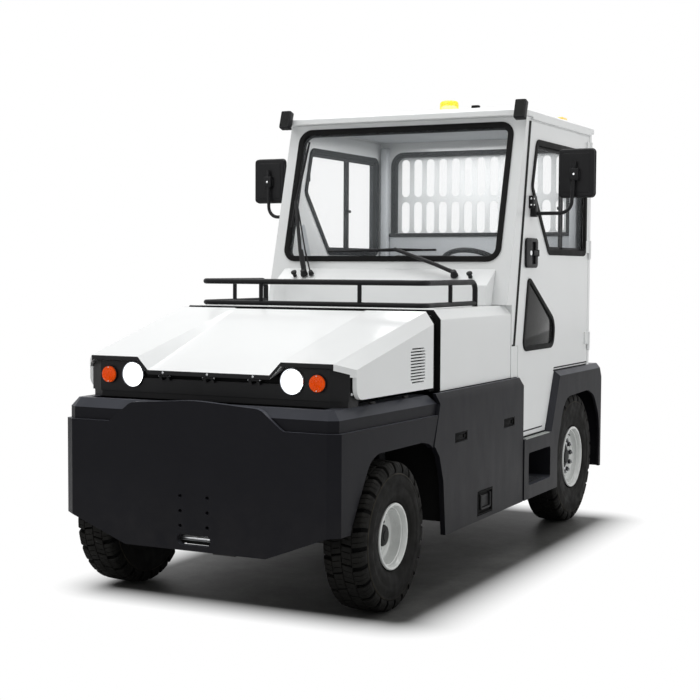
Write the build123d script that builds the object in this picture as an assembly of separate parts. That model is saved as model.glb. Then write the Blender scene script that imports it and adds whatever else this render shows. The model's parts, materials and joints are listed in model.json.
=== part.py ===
from build123d import *
from math import cos, pi, radians, sin, sqrt, tan
import os

os.makedirs("parts", exist_ok=True)

# Airport baggage tug with a closed cab, millimetres, +Z up, front facing -Y, vehicle left at +X.
# The origin is on the ground, midway along the length. A station is the distance back from the
# bumper's front face, so a point at station s lies at y = s - LENGTH / 2. Heights are drawn from
# the body's datum plane, and save() lifts each piece by BODY_DATUM, the plane's height over the ground.

# Overall sizes
LENGTH = 3420.0
SIDE_HALF = 700.0
CAB_TOP_Z = 2160.0
GROUND_CLEARANCE = 204.0

# Sheet and gaps
SKIN = 14.0
BUMPER_WALL = 25.0
HOOD_WALL = 18.0
COWL_WALL = 28.0
DOOR_WALL = 40.0
GLASS = 6.0
GLASS_FIT = 0.3
DOOR_GAP = 8.0
SEAT_GAP = 0.3
RUNNING_FIT = 0.05

# Wheels and tyres
BODY_DATUM = 25.0
FRONT_AXLE = 442.0
FRONT_RADIUS = 311.0
FRONT_AXLE_Z = FRONT_RADIUS - BODY_DATUM
FRONT_TYRE_TOP = FRONT_AXLE_Z + FRONT_RADIUS
FRONT_TYRE_WIDTH = 192.0
FRONT_TYRE_OUTER = SIDE_HALF
FRONT_RIM_RADIUS = 139.0
FRONT_RIM_HALF = 85.0
REAR_RADIUS = 361.0
REAR_AXLE_Z = REAR_RADIUS - BODY_DATUM
REAR_TYRE_TOP = REAR_AXLE_Z + REAR_RADIUS
REAR_OVERHANG = 219.0
REAR_AXLE = LENGTH - REAR_OVERHANG - REAR_RADIUS
REAR_TYRE_FRONT = REAR_AXLE - REAR_RADIUS
REAR_TYRE_WIDTH = 184.0
REAR_TYRE_OUTER = SIDE_HALF - 10
REAR_RIM_RADIUS = 170.0
REAR_RIM_HALF = 84.0
KINGPIN_OFFSET = 106.0
KINGPIN_X = FRONT_TYRE_OUTER - FRONT_TYRE_WIDTH / 2 - KINGPIN_OFFSET
KINGPIN_RADIUS = 18.0
SPINDLE_RADIUS = 32.0
FRONT_LUGS = 6
REAR_LUGS = 8
LUG_RADIUS = 9.0

# Front bumper and fenders
BUMPER_HALF = SIDE_HALF - 92
CHAMFER_HALF = SIDE_HALF - 44
CHAMFER_DEPTH = 33.0
BUMPER_BOTTOM = 237.0
BUMPER_BOTTOM_HALF = 337.0
BUMPER_CORNER_BOTTOM = 340.0
BUMPER_BAY_HALF = SIDE_HALF - 140
SHELF_Z = 748.0
BAND_INSET = 15.0
BAND_TOP = 798.0
DECK_Z = 836.0
DECK_INSET = 45.0
CREST_Z = 852.0
CREST_SHOULDER = (310.0, 831.0)
CREST_FOOT = (420.0, 743.0)
FENDER_END = 905.0
ARCH_CLEARANCE = 26.0
ARCH_RISE = 46.0
ARCH_ROUND = 110.0
BOLT_PITCH_X = 130.0
BOLT_PITCH_Z = 61.0
BOLT_ROWS = 3
BOLT_LOW_Z = 337.0
BOLT_HOLE_RADIUS = 8.0
TOW_SLOT_Z = 282.0
TOW_SLOT_LENGTH = 160.0
TOW_SLOT_HEIGHT = 44.0
TOW_PIN_RADIUS = 12.0
TOW_EAR = 16.0

# Hood and headlamp panel
HOOD_FRONT = 104.0
HOOD_REAR = 882.0
HOOD_BOTTOM = 866.0
HOOD_SIDE_FRONT = 179.0
HOOD_SIDE_ROUND = 50.0
HOOD_CLEARANCE = 6.0
LIP_Z = 1012.0
LIP_HALF = SIDE_HALF - 118
NOTCH_Z = 958.0
NOTCH_HALF = 293.0
NOTCH_TOP_HALF = 345.0
HOOD_CORNER_HALF = SIDE_HALF - 53
HOOD_TOP_Z = 1200.0
HOOD_REAR_HALF = SIDE_HALF - 28
HOOD_SHOULDER_HALF = SIDE_HALF - 65
HOOD_SHOULDER_FRONT_Z = 970.0
HOOD_SHOULDER_Z = 1146.0
HOOD_PIVOT = (116.0, 935.0)
HOOD_HINGE_X = (-217.0, 0.0, 217.0)
HOOD_HINGE_RADIUS = 6.5
HOOD_HINGE_LENGTH = 24.0
PANEL_FRONT = 130.0
PANEL_CREASE_HALF = SIDE_HALF - 147
PANEL_CORNER = (SIDE_HALF - 80, 165.0)
PANEL_HALF = SIDE_HALF - 74
PANEL_MIDDLE_TOP = 922.0
PANEL_TOP = 990.0
PANEL_SKIRT_Z = 862.0
PANEL_SKIRT_INSET = 7.0
LAMP_X = SIDE_HALF - 315
LAMP_Z = 932.0
LAMP_RADIUS = 50.0
LAMP_DEPTH = 60.0
INDICATOR_X = SIDE_HALF - 198
INDICATOR_RADIUS = 37.0
INDICATOR_DEPTH = 50.0
LOUVRE_COUNT = 12
LOUVRE_PITCH = 13.0
LOUVRE_HEIGHT = 6.0
LOUVRE_LOW_Z = 900.0
LOUVRE_STATIONS = (660.0, 800.0)

# Cowl, wiper box and rail
COWL_FRONT = 955.0
COWL_REAR = 1846.0
COWL_BOTTOM = 845.0
COWL_HALF = SIDE_HALF - 25
COWL_CREASE_Z = 1163.0
COWL_TOP_Z = 1207.0
COWL_TOP_HALF = SIDE_HALF - 60
SEAL_FRONT_GAP = 18.0
SEAL_THICKNESS = 26.0
SCUTTLE_HALF = SIDE_HALF - 100
SCUTTLE_FRONT = 1690.0
SCUTTLE_EDGE_Z = 1308.0
SCUTTLE_TOP_Z = 1388.0
RAIL_RADIUS = 13.0
RAIL_HALF = SIDE_HALF - 117
RAIL_FRONT = 985.0
RAIL_MIDDLE = 1281.0
RAIL_REAR = 1590.0
RAIL_Z = 1323.0
RAIL_FOOT_Z = 1222.0
RAIL_POST_X = 259.0
RAIL_BEND = 40.0

# Ladder frame and the floor it carries
AXLE_TUBE_RADIUS = 62.0
AXLE_ROOM = 20.0
FRAME_LOW = REAR_AXLE_Z + AXLE_TUBE_RADIUS + AXLE_ROOM
FRAME_DEPTH = 111.7
FRAME_HIGH = FRAME_LOW + FRAME_DEPTH
PLATE = 30.0
FLOOR_Z = FRAME_HIGH + SEAT_GAP + PLATE
FRAME_HALF = 318.0
RAIL_WIDTH = 70.0
CROSS_DEPTH = 60.0

# Side panels, steps and rear fenders
PANEL_TOP_Z = 843.0
PANEL_REAR = 1978.0
PANEL_THICKNESS = 24.0
PANEL_INNER = SIDE_HALF - PANEL_THICKNESS
PANEL_BEVEL_Z = 790.0
LATCH_SIZE = (146.0, 44.0, 8.0)
LATCH_PLACES = ((1147.0, 626.0), (1773.0, 632.0))
PULL_STATIONS = (1355.0, 1547.0)
PULL_HEIGHTS = (226.0, 345.0)
STEP_TOP_Z = FLOOR_Z - 38
STEP_REAR = REAR_TYRE_FRONT - 100
POCKET_STATIONS = (PANEL_REAR + 72, REAR_TYRE_FRONT - 87)
POCKET_HEIGHTS = (280.0, STEP_TOP_Z - 75)
POCKET_DEPTH = 138.0
POCKET_ROUND = 18.0
FENDER_HALF = SIDE_HALF + 5
FENDER_INNER = FENDER_HALF - 205
FENDER_FRONT = REAR_TYRE_FRONT + 46
FENDER_REAR = LENGTH - 108
FENDER_TOP_Z = REAR_TYRE_TOP + 141
FENDER_BEVEL = 26.0
FENDER_SKIRT_Z = 232.0
REAR_ARCH_ROUND = 150.0
WHEELHOUSE_SKIN = 9.0
TYRE_ROOM = 10.0

# Cab
CAB_HALF = SIDE_HALF - 22
SEAM_TOP = (2101.0, CAB_TOP_Z - 4)
SEAM_LOW = (1891.0, 1003.0)
SEAM_JOG = 1935.0
SCREEN_LOW = (1833.0, 1420.0)
SCREEN_HIGH = (2030.0, CAB_TOP_Z - 24)
SCREEN_HALF = SIDE_HALF - 95
SCREEN_ROUND = 60.0
PILLAR = 58.0
CAB_REAR = LENGTH - 317
REAR_WALL = 36.0
REAR_WINDOW_HALF = SIDE_HALF - 140
REAR_WINDOW_HEIGHTS = (1500.0, CAB_TOP_Z - 80)
REAR_WINDOW_ROUND = 70.0
GUARD_HALF = SIDE_HALF - 100
GUARD_HEIGHTS = (1470.0, CAB_TOP_Z - 50)
GUARD_THICKNESS = 5.0
GUARD_MARGIN = 60.0
SLOT_PITCH = 82.0
SLOT_WIDTH = 52.0
SLOT_ROWS = ((1604.0, 1793.0), (1824.0, CAB_TOP_Z - 110))
ROOF_HALF = SIDE_HALF - 10
ROOF_FRONT = 1985.0
ROOF_CORNER = (SIDE_HALF - 42, 2035.0)
ROOF_REAR = CAB_REAR + REAR_WALL + 8
ROOF_EDGE = 29.0
ROOF_RISE = 54.0
ROOF_CROWN_INSET = 62.0
GUTTER_Z = CAB_TOP_Z - 12
DOOR_TOP_Z = GUTTER_Z - 7
SILL_Z = FLOOR_Z + 2
SILL_STRIP = 69.5
DOOR_STRIP = 25.2
PLATFORM_Z = FENDER_TOP_Z + 30
RISER = REAR_TYRE_FRONT - 109
DOOR_AXIS = (CAB_HALF + 9, CAB_REAR - 5)
HINGE_HEIGHTS = (FENDER_TOP_Z + 122, 1480.0, CAB_TOP_Z - 120)
HINGE_LENGTH = 70.0
HINGE_RADIUS = 8.0
WINDOW_ROUND = 40.0
# Windows of the door: station, height and corner radius
WINDOW = [(2120, 1805, WINDOW_ROUND), (2190, CAB_TOP_Z - 118, WINDOW_ROUND),
          (CAB_REAR - 63, CAB_TOP_Z - 118, WINDOW_ROUND), (CAB_REAR - 63, 1476, WINDOW_ROUND), (2400, 1476, WINDOW_ROUND)]
LOWER_WINDOW = [(2012, FENDER_TOP_Z + 142, 40), (2082, 1328, 22), (2112, 1328, 22), (2506, FENDER_TOP_Z + 266, 110),
                (2478, FENDER_TOP_Z + 142, 50)]

# Inside the cab
SEAT_X = 290.0
SEAT_TOP_Z = PLATFORM_Z + 212
SEAT_BACK_TOP_Z = SEAT_TOP_Z + 405
SEAT_DEPTH = 450.0
SEAT_BACK = 100.0
SEAT_REAR = CAB_REAR - 73
WHEEL_CENTRE = (320.0, 2240.0, 1385.0)
WHEEL_TILT = -35.0
WHEEL_RIM = 190.0
WHEEL_GRIP = 14.0
COLUMN_LENGTH = 330.0
COLUMN_RADIUS = 30.0

# Rear coupling and the frame plate behind it
REAR_PLATE = 30.0
REAR_PLATE_STATION = FENDER_REAR - 40
JAWS = 5
JAW_PITCH = 72.0
JAW_THICKNESS = 22.0
JAW_LOW_Z = 315.0
JAW_HALF = 75.0
HITCH_PIN_RADIUS = 15.0
HITCH_PIN_STATION = LENGTH - 38


def at(station):
    return station - LENGTH / 2


def side_prism(points, x_low, x_high, radius=0.0):
    """An outline of (station, height) points drawn across the vehicle from x_low to x_high."""
    face = make_face(Polyline(*points, close=True))
    if radius:
        face = fillet(face.vertices(), radius)
    plane = Plane(origin=(x_low, at(0), 0), x_dir=(0, 1, 0), z_dir=(1, 0, 0))
    return extrude(plane * face, amount=x_high - x_low)


def plan_prism(points, z_low, z_high, inset=0.0):
    """An outline of (x, station) points drawn up from z_low to z_high, drawn in by inset."""
    face = make_face(Polyline(*points, close=True))
    if inset:
        face = offset(face, amount=-inset, kind=Kind.INTERSECTION)
    plane = Plane(origin=(0, at(0), z_low), x_dir=(1, 0, 0), z_dir=(0, 0, 1))
    return extrude(plane * face, amount=z_high - z_low)


def front_prism(points, station_low, station_high, radius=0.0):
    """An outline of (x, height) points drawn back from station_low to station_high."""
    face = make_face(Polyline(*points, close=True))
    if radius:
        face = fillet(face.vertices(), radius)
    plane = Plane(origin=(0, at(station_low), 0), x_dir=(1, 0, 0), z_dir=(0, -1, 0))
    return extrude(plane * face, amount=station_low - station_high)


def block(x_low, x_high, station_low, station_high, z_low, z_high):
    width, depth, height = x_high - x_low, station_high - station_low, z_high - z_low
    centre = ((x_low + x_high) / 2, at((station_low + station_high) / 2), (z_low + z_high) / 2)
    return Pos(*centre) * Box(width, depth, height)


def side_block(side, x_near, x_far, *rest):
    """A block between two distances from the middle, on the side given by the sign."""
    return block(*sorted((side * x_near, side * x_far)), *rest)


def rod_x(x_low, x_high, station, z, radius):
    centre = ((x_low + x_high) / 2, at(station), z)
    return Pos(*centre) * Rot(0, 90, 0) * Cylinder(radius, x_high - x_low)


def rod_y(x, station_low, station_high, z, radius):
    centre = (x, at((station_low + station_high) / 2), z)
    return Pos(*centre) * Rot(90, 0, 0) * Cylinder(radius, station_high - station_low)


def rod_z(x, station, z_low, z_high, radius):
    return Pos(x, at(station), (z_low + z_high) / 2) * Cylinder(radius, z_high - z_low)


def rod_between(start, end, radius):
    """Round bar from one point to another."""
    way = end - start
    return extrude(Plane(origin=start, z_dir=way) * Circle(radius), amount=way.length)


def mirrored(half):
    """Full outline from the points of its right-hand half, both given as (x, other)."""
    return [(-x, other) for x, other in reversed(half)] + half


def other_side(shape):
    return mirror(shape, about=Plane.YZ)


def both_sides(shape):
    return Compound(children=[shape, other_side(shape)])


def save(shape, node):
    export_step(Pos(0, 0, BODY_DATUM) * shape, f"parts/{node}.step")


def fender_half(station):
    """Half the width of the front shell at a station behind the bumper's chamfer."""
    share = (station - CHAMFER_DEPTH) / (FENDER_END - CHAMFER_DEPTH)
    return CHAMFER_HALF + share * (SIDE_HALF - CHAMFER_HALF)


def arch_cut(curve, feet, radius, x_low, x_high):
    """A wheel opening: the corners of its curve are rounded, those of its feet are not."""
    face = make_face(Polyline(*curve, *feet, close=True))
    bends = [v for v in face.vertices() if any(abs(v.X - x) < 1 and abs(v.Y - z) < 1 for x, z in curve)]
    plane = Plane(origin=(x_low, at(0), 0), x_dir=(0, 1, 0), z_dir=(1, 0, 0))
    return extrude(plane * fillet(bends, radius), amount=x_high - x_low)


def front_arch(x_low, x_high):
    """Front wheel opening, set by the wheel's place and radius."""
    axle, radius, top = FRONT_AXLE, FRONT_RADIUS, FRONT_TYRE_TOP
    front = axle - radius - ARCH_CLEARANCE
    curve = [(front, FRONT_AXLE_Z + 66), (axle - 180, top + 15), (axle - 112, top + ARCH_RISE - 3),
             (axle + radius - 18, top + ARCH_RISE), (axle + radius + 47, top + ARCH_RISE - 15)]
    feet = [(axle + radius + 77, top + 13), (1000, top + 13), (1000, 150), (front, 150)]
    return arch_cut(curve, feet, ARCH_ROUND, x_low, x_high)


def crest():
    """Thick front plate whose top edge rises over the shelf in a smooth curve."""
    foot_x, foot_z = CREST_FOOT
    shoulder_x, shoulder_z = CREST_SHOULDER
    half = [(0, CREST_Z), (shoulder_x, shoulder_z), (foot_x, foot_z), (foot_x + 120, foot_z), (foot_x + 120, 650)]
    points = [(-x, z) for x, z in reversed(half[1:])] + half
    face = make_face(Polyline(*points, close=True))
    bends = [v for v in face.vertices() if v.Z == 0 and abs(abs(v.X) - foot_x) < 1 or abs(abs(v.X) - shoulder_x) < 1]
    face = fillet(bends, 70)
    middle = [v for v in face.vertices() if abs(v.X) < 1]
    face = fillet(middle, 900)
    plane = Plane(origin=(0, at(0), 0), x_dir=(1, 0, 0), z_dir=(0, -1, 0))
    return extrude(plane * face, amount=-BUMPER_WALL)


def front_bumper():
    """Front shell in one piece: bumper plate, shelf, bevelled deck and both front fenders."""
    rear = FENDER_END + 4 * BUMPER_WALL
    plan = mirrored([(BUMPER_HALF, 0.0), (CHAMFER_HALF, CHAMFER_DEPTH), (fender_half(rear), rear)])
    lower = plan_prism(plan, GROUND_CLEARANCE, SHELF_Z)
    band = plan_prism(plan, SHELF_Z, BAND_TOP, BAND_INSET)
    rings = [
        Pos(0, at(0), z) * offset(make_face(Polyline(*plan, close=True)), amount=-inset, kind=Kind.INTERSECTION)
        for z, inset in ((BAND_TOP, BAND_INSET), (DECK_Z, DECK_INSET))
    ]
    bevel = loft(rings, ruled=True)
    inside = plan_prism(plan, 0, BAND_TOP - BUMPER_WALL / 2, BAND_INSET + BUMPER_WALL)
    inside += plan_prism(plan, 0, SHELF_Z - BUMPER_WALL, BUMPER_WALL)
    bay = block(-BUMPER_BAY_HALF, BUMPER_BAY_HALF, 70, rear, 0, DECK_Z + 10)
    shell = lower + band + bevel + crest() - inside - bay
    wide = SIDE_HALF + 200
    shell -= block(-wide, wide, FENDER_END, rear + 50, 0, 1000)
    for side in (-1, 1):
        shell -= front_prism(
            [(side * BUMPER_BOTTOM_HALF, BUMPER_BOTTOM), (side * BUMPER_HALF, BUMPER_CORNER_BOTTOM),
             (side * wide, BUMPER_CORNER_BOTTOM + 20), (side * wide, 0), (side * BUMPER_BOTTOM_HALF, 0)], -10, 120)
    shell -= block(-wide, wide, -10, 120, 0, BUMPER_BOTTOM)
    shell -= front_arch(-wide, wide)
    seam = [(FRONT_AXLE + FRONT_RADIUS + 73, FRONT_TYRE_TOP + 3), (FENDER_END - 10, 795), (858, 840), (858, 900),
            (1200, 900), (1200, 600)]
    shell -= side_prism(seam, -wide, wide)
    for column in (-0.5, 0.5):
        for row in range(BOLT_ROWS):
            z = BOLT_LOW_Z + row * BOLT_PITCH_Z
            shell -= rod_y(column * BOLT_PITCH_X, -10, BUMPER_WALL + 10, z, BOLT_HOLE_RADIUS)
    slot = Pos(0, at(BUMPER_WALL / 2), TOW_SLOT_Z) * Rot(90, 0, 0)
    shell -= slot * extrude(SlotOverall(TOW_SLOT_LENGTH, TOW_SLOT_HEIGHT), amount=BUMPER_WALL, both=True)
    return shell


def front_tow_pin():
    """Draw pin across the slot, held in two ears behind the bumper plate, with a rope lug below."""
    half = TOW_SLOT_LENGTH / 2 + TOW_EAR / 2 + 4
    back = BUMPER_WALL + SEAT_GAP
    pin = rod_x(-half - 8, half + 8, BUMPER_WALL + 20, TOW_SLOT_Z, TOW_PIN_RADIUS)
    for side in (-1, 1):
        pin += side_block(side, half - TOW_EAR / 2, half + TOW_EAR / 2, back, 110, TOW_SLOT_Z - 30, TOW_SLOT_Z + 30)
    return pin + block(half - TOW_EAR, half + 90, back, back + 20, TOW_SLOT_Z - 55, TOW_SLOT_Z - 22)


def hood_section(station, inset):
    """Cross outline of the hood at a station: flat top with a sunk middle, bevelled shoulder, side."""
    share = (station - HOOD_FRONT) / (HOOD_REAR - HOOD_FRONT)

    def between(front, rear):
        return front + share * (rear - front)

    top = between(LIP_Z, HOOD_TOP_Z) - inset
    middle = between(NOTCH_Z, HOOD_TOP_Z - 3) - inset
    side = between(HOOD_CORNER_HALF - 3, HOOD_REAR_HALF) - inset
    shoulder = between(LIP_HALF, HOOD_SHOULDER_HALF) - inset * 0.6
    shoulder_z = between(HOOD_SHOULDER_FRONT_Z, HOOD_SHOULDER_Z) - inset * 0.7
    bottom = HOOD_BOTTOM - (200 if inset else 0)
    points = mirrored([
        (between(NOTCH_HALF, NOTCH_TOP_HALF - 15), middle), (between(NOTCH_TOP_HALF, NOTCH_TOP_HALF), top),
        (shoulder, top), (side, shoulder_z), (side, bottom)])
    plane = Plane(origin=(0, at(station), 0), x_dir=(1, 0, 0), z_dir=(0, -1, 0))
    return plane * make_face(Polyline(*points, close=True))


def hood_hollow(wall):
    """Room under the hood for a sheet of the given thickness."""
    return loft([hood_section(HOOD_FRONT - 60, wall), hood_section(HOOD_REAR + 60, wall)], ruled=True)


def hood():
    """One folded sheet that tilts forward on hinge knuckles under its front lip."""
    outer = loft([hood_section(HOOD_FRONT, 0), hood_section(HOOD_REAR, 0)], ruled=True)
    shell = outer - hood_hollow(HOOD_WALL)
    wide = SIDE_HALF + 200
    corner_run = HOOD_SIDE_FRONT - HOOD_FRONT
    low = make_face(Polyline((0, 700), (0, NOTCH_Z), (HOOD_SIDE_FRONT, NOTCH_Z), (HOOD_SIDE_FRONT, HOOD_BOTTOM),
                             (1000, HOOD_BOTTOM), (1000, 700), close=True))
    low = fillet([v for v in low.vertices() if abs(v.X - HOOD_SIDE_FRONT) < 1 and abs(v.Y - HOOD_BOTTOM) < 1],
                 HOOD_SIDE_ROUND)
    for side in (-1, 1):
        corner = [(side * LIP_HALF, HOOD_FRONT), (side * HOOD_CORNER_HALF, HOOD_SIDE_FRONT),
                  (side * wide, HOOD_SIDE_FRONT + corner_run), (side * wide, 0), (side * LIP_HALF, 0)]
        shell -= plan_prism(corner, 0, 1300)
        x_low, x_high = sorted((side * (LIP_HALF - 22), side * wide))
        plane = Plane(origin=(x_low, at(0), 0), x_dir=(0, 1, 0), z_dir=(1, 0, 0))
        shell -= extrude(plane * low, amount=x_high - x_low)
        for row in range(LOUVRE_COUNT):
            z = LOUVRE_LOW_Z + row * LOUVRE_PITCH
            trim = 12 if row in (0, LOUVRE_COUNT - 1) else 0
            front, rear = LOUVRE_STATIONS
            shell -= side_block(side, HOOD_CORNER_HALF - 60, wide, front + trim, rear - trim, z, z + LOUVRE_HEIGHT)
    station, z = HOOD_PIVOT
    reach = HOOD_HINGE_LENGTH / 2
    for x in HOOD_HINGE_X:
        shell += rod_x(x - reach, x + reach, station, z, HOOD_HINGE_RADIUS)
        shell += block(x - reach, x + reach, station - 4, station + 4, z, NOTCH_Z - HOOD_WALL + 8)
    return shell


def headlamp_panel():
    """Fixed panel under the hood's lip with the lamp holes and the fixed hinge knuckles."""
    plan = mirrored([(PANEL_CREASE_HALF, PANEL_FRONT), PANEL_CORNER, (PANEL_HALF, PANEL_CORNER[1] + 25),
                     (PANEL_HALF, 330)])
    panel = plan_prism(plan, PANEL_SKIRT_Z, PANEL_TOP)
    panel += plan_prism(plan, DECK_Z + SEAT_GAP, PANEL_SKIRT_Z, PANEL_SKIRT_INSET)
    panel -= plan_prism(plan, 0, 1100, SKIN)
    wide = SIDE_HALF + 10
    panel -= block(-wide, wide, 250, 400, 0, 1100)
    panel -= block(-NOTCH_TOP_HALF, NOTCH_TOP_HALF, 0, 400, PANEL_MIDDLE_TOP, 1100)
    panel -= block(-wide, wide, 196, 400, PANEL_MIDDLE_TOP, 1100)
    panel &= hood_hollow(HOOD_WALL + HOOD_CLEARANCE)
    for side in (-1, 1):
        panel -= rod_y(side * LAMP_X, 100, 200, LAMP_Z, LAMP_RADIUS + SEAT_GAP)
        panel -= rod_y(side * INDICATOR_X, 100, 200, LAMP_Z, INDICATOR_RADIUS + SEAT_GAP)
    station, z = HOOD_PIVOT
    near = HOOD_HINGE_LENGTH / 2 + SEAT_GAP
    far = near + HOOD_HINGE_LENGTH / 2
    for x in HOOD_HINGE_X:
        for side in (-1, 1):
            low, high = sorted((x + side * near, x + side * far))
            panel += rod_x(low, high, station, z, HOOD_HINGE_RADIUS)
            panel += block(low, high, station, PANEL_FRONT + 2, z - HOOD_HINGE_RADIUS - 12, z - HOOD_HINGE_RADIUS + 1)
            panel += block(low, high, station - 4, station + 4, z - HOOD_HINGE_RADIUS - 4, z)
    return panel


def lamp_row(x, radius, front, depth):
    lamp = rod_y(x, front, front + depth, LAMP_Z, radius)
    lamp = fillet(lamp.edges().filter_by(GeomType.CIRCLE).sort_by(Axis.Y)[:1], radius / 6)
    return both_sides(lamp)


def cowl_outline(inset):
    return mirrored([(COWL_TOP_HALF - inset / 2, COWL_TOP_Z - inset), (COWL_HALF - inset, COWL_CREASE_Z - inset / 2),
                     (COWL_HALF - inset, COWL_BOTTOM - (50 if inset else 0))])


def cowl():
    inner = front_prism(cowl_outline(COWL_WALL), COWL_FRONT - 10, COWL_REAR + 10)
    return front_prism(cowl_outline(0), COWL_FRONT, COWL_REAR) - inner


def hood_seal():
    """Black flanged bulkhead edge that fills the gap between hood and cowl."""
    outer = front_prism(cowl_outline(COWL_WALL + SEAT_GAP), HOOD_REAR + SEAL_FRONT_GAP, COWL_FRONT + 40)
    outer &= block(-SIDE_HALF, SIDE_HALF, 0, 2000, COWL_BOTTOM, 1300)
    return outer - front_prism(cowl_outline(COWL_WALL + SEAL_THICKNESS), HOOD_REAR, COWL_FRONT + 60)


def screen_station(z):
    """Station of the windscreen's outer face at a height."""
    slope = (SCREEN_HIGH[0] - SCREEN_LOW[0]) / (SCREEN_HIGH[1] - SCREEN_LOW[1])
    return SCREEN_LOW[0] + slope * (z - SCREEN_LOW[1])


def scuttle():
    """Raised box under the windscreen that carries the wipers."""
    foot = COWL_TOP_Z + SEAT_GAP
    outline = [(SCUTTLE_FRONT, foot), (SCUTTLE_FRONT + 10, SCUTTLE_EDGE_Z),
               (screen_station(SCUTTLE_TOP_Z) - SEAT_GAP, SCUTTLE_TOP_Z), (screen_station(COWL_TOP_Z) - SEAT_GAP, foot)]
    return side_prism(outline, -SCUTTLE_HALF, SCUTTLE_HALF)


def hood_rail():
    """Luggage rail of bent tube: an upper hoop that comes down to the cowl and a lower hoop."""
    foot = COWL_TOP_Z + SEAT_GAP
    top = FilletPolyline(
        (RAIL_HALF, at(RAIL_REAR), foot), (RAIL_HALF, at(RAIL_REAR), RAIL_Z), (RAIL_HALF, at(RAIL_FRONT), RAIL_Z),
        (-RAIL_HALF, at(RAIL_FRONT), RAIL_Z), (-RAIL_HALF, at(RAIL_REAR), RAIL_Z), (-RAIL_HALF, at(RAIL_REAR), foot),
        radius=RAIL_BEND)
    rail = sweep(Plane(origin=top @ 0, z_dir=top % 0) * Circle(RAIL_RADIUS), path=top)
    low = FilletPolyline(
        (RAIL_HALF, at(RAIL_REAR), RAIL_FOOT_Z), (RAIL_HALF, at(RAIL_FRONT), RAIL_FOOT_Z),
        (-RAIL_HALF, at(RAIL_FRONT), RAIL_FOOT_Z), (-RAIL_HALF, at(RAIL_REAR), RAIL_FOOT_Z), radius=RAIL_BEND)
    rail += sweep(Plane(origin=low @ 0, z_dir=low % 0) * Circle(RAIL_RADIUS - 1.5), path=low)
    for side in (-1, 1):
        for x, station in ((RAIL_POST_X, RAIL_FRONT), (RAIL_HALF, RAIL_MIDDLE)):
            rail += rod_z(side * x, station, RAIL_FOOT_Z, RAIL_Z, RAIL_RADIUS - 3)
    return rail


def side_panel():
    """Battery-bay cover on the left side, its front edge along the fender seam and the wheel arch."""
    low = GROUND_CLEARANCE
    tyre_rear, top = FRONT_AXLE + FRONT_RADIUS, FRONT_TYRE_TOP
    outline = [(tyre_rear + 84, top + 17), (FENDER_END - 5, 795), (862, PANEL_TOP_Z), (1930, PANEL_TOP_Z),
               (PANEL_REAR, 800), (PANEL_REAR, low + 4), (tyre_rear + 215, low), (tyre_rear + 187, 450),
               (tyre_rear + 142, top - 34), (tyre_rear + 97, top + 10)]
    panel = side_prism(outline, PANEL_INNER, SIDE_HALF)
    wedge = [(SIDE_HALF + 1, PANEL_BEVEL_Z), (SIDE_HALF + 1, 900), (SIDE_HALF - 18, 900)]
    panel -= front_prism(wedge, 700, PANEL_REAR + 100)
    length, height, depth = LATCH_SIZE
    for station, z in LATCH_PLACES:
        panel -= block(SIDE_HALF - depth, SIDE_HALF + 5, station - length / 2, station + length / 2, z - height / 2,
                       z + height / 2)
    panel -= block(SIDE_HALF - 12, SIDE_HALF + 5, *PULL_STATIONS, *PULL_HEIGHTS)
    return panel


def fender_outline():
    """Side outline of the step and rear fender."""
    low = GROUND_CLEARANCE + 6
    return [(PANEL_REAR + 6, low), (PANEL_REAR + 6, STEP_TOP_Z), (STEP_REAR, STEP_TOP_Z),
            (FENDER_FRONT, FENDER_TOP_Z), (FENDER_REAR - 18, FENDER_TOP_Z), (FENDER_REAR, FENDER_TOP_Z - 30),
            (FENDER_REAR, FENDER_SKIRT_Z), (REAR_AXLE + 260, FENDER_SKIRT_Z), (REAR_AXLE + 260, low)]


def fender_line(z):
    """Station of the fender's slanted front edge at a height."""
    return STEP_REAR + (FENDER_FRONT - STEP_REAR) * (z - STEP_TOP_Z) / (FENDER_TOP_Z - STEP_TOP_Z)


def rear_arch(x_low, x_high):
    """Rear wheel opening, set by the wheel's place and radius."""
    z, top = REAR_AXLE_Z, REAR_TYRE_TOP
    front, rear = REAR_TYRE_FRONT + 33, REAR_AXLE + REAR_RADIUS + 81
    curve = [(front, z + 97), (front + 36, z + 180), (front + 86, z + 288), (front + 161, top - 9),
             (rear - 233, top + 1), (rear - 114, top - 36), (rear - 20, z + 204), (rear, z + 104)]
    return arch_cut(curve, [(rear, 0), (front, 0)], REAR_ARCH_ROUND, x_low, x_high)


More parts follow.
